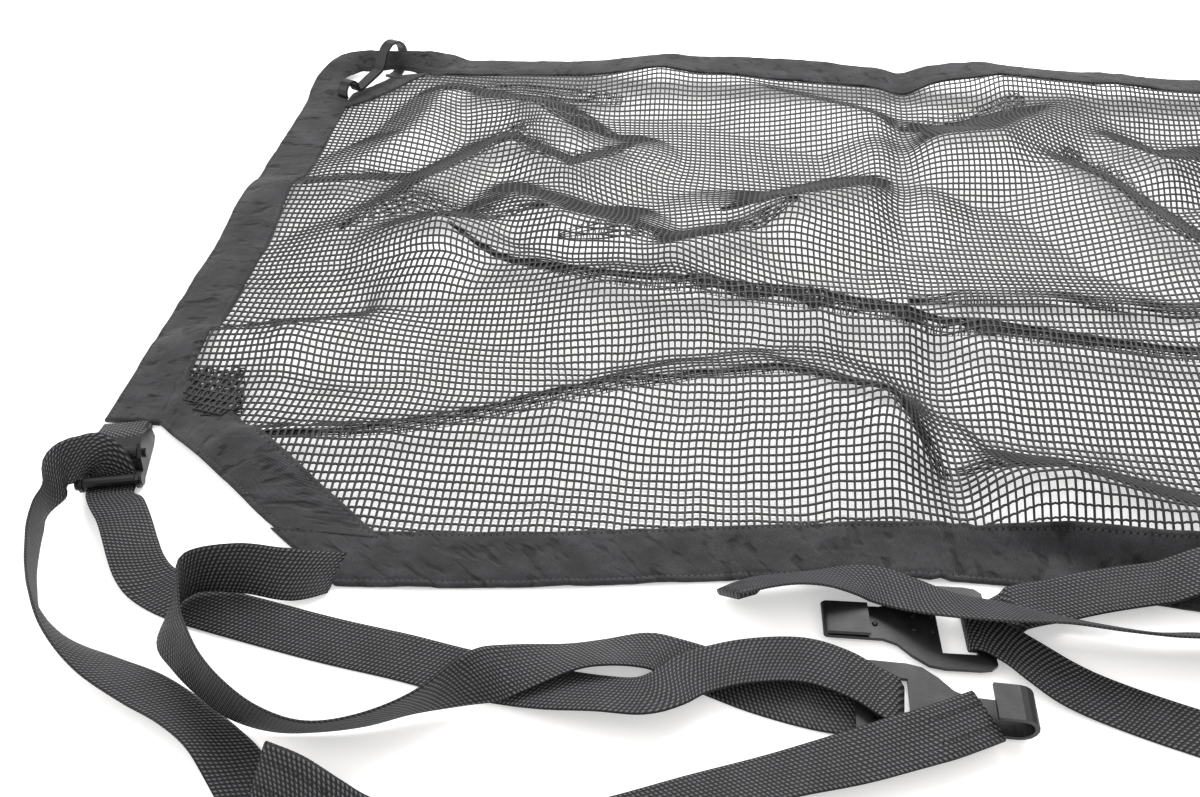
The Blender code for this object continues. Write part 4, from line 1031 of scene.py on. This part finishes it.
# %% The straps and the buckles' tabs
to_left_buckle = [IN_SEAM, *SLEEVE_MOUTH, *LEFT_TO_HOOK, *INTO_BUCKLE, *from_buckle(THROUGH_BUCKLE)]
ribbon("left_strap", [*to_left_buckle, *LEFT_TAIL], "strap_left")
right_buckle = mirrored([*INTO_BUCKLE, *from_buckle(THROUGH_BUCKLE)])
to_right_buckle = [*mirrored([IN_SEAM, *SLEEVE_MOUTH]), *RIGHT_TO_HOOK, *right_buckle]
ribbon("right_strap", [*to_right_buckle, *mirrored(LEFT_TAIL[:5]), *RIGHT_TAIL], "strap_right", doubled=(0, 12))
ribbon("loose_strap", LOOSE_STRAP, "strap_loose", doubled=(30, 28))
ribbon("left_tab", from_buckle(TAB_ROWS), "tab_left", step=1.2)
ribbon("right_tab", mirrored(from_buckle(TAB_ROWS)), "tab_right", step=1.2)

# %% [markdown]
# ## Black steel
#
# Hooks and buckles are stamped from steel and coated in semi-gloss black. The coat is a little uneven, so
# its highlights break up. One finish on Object coordinates does for every metal node of the frame.

# %% Black steel finish on every metal node of the frame
def black_steel_material():
    made, nodes, links, shader = new_material("coated_steel", roughness=0.45, metallic=0.0, specular=0.3)
    shader.inputs["Coat Weight"].default_value = 0.06
    shader.inputs["Coat Roughness"].default_value = 0.2
    place = nodes.new("ShaderNodeTexCoord").outputs["Object"]
    cloudy = noise_node(nodes, links, place, 120.0, 4.0)
    shade = ramp_node(nodes, links, cloudy, ((0.3, (0.004, 0.004, 0.0045, 1)), (0.75, (0.011, 0.011, 0.012, 1))))
    links.new(shade, shader.inputs["Base Color"])
    links.new(ramp_node(nodes, links, cloudy, ((0.3, 0.36), (0.7, 0.5))), shader.inputs["Roughness"])
    grain = noise_node(nodes, links, place, 1500.0, 2.0)
    bump_node(nodes, links, grain, shader, 0.00008)
    return made


steel_finish = black_steel_material()
for node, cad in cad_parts.items():
    if not cad.hide_render:
        for slot in cad.material_slots:
            slot.material = steel_finish
print("steel on", sorted(node for node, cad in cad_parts.items() if not cad.hide_render))

# %% [markdown]
# ## Rivets
#
# Small rivets stand up on the right strap's flat hook. The first one's place is seen, and the other four
# are a guess. Each is a low cone with its top cut off, which takes the light much as a round head does.

# %% Rivets: x, y and radius
RIVETS = ((-45, -306, 1.5), (-27, -300, 1.2), (-27, -308, 1.2), (-18.5, -299.5, 1.2), (-18.5, -308.5, 1.2))
PLATE_TOP = 4.1
RIVET_HEIGHT = 0.7

bm = bmesh.new()
for x, y, radius in RIVETS:
    bmesh.ops.create_cone(
        bm, cap_ends=True, segments=20, radius1=radius, radius2=radius * 0.7, depth=RIVET_HEIGHT,
        matrix=Matrix.Translation((x, y, PLATE_TOP + RIVET_HEIGHT / 2 - 0.05)),
    )
add_piece("hook_rivets", bm, steel_finish)
print("rivets", len(RIVETS))
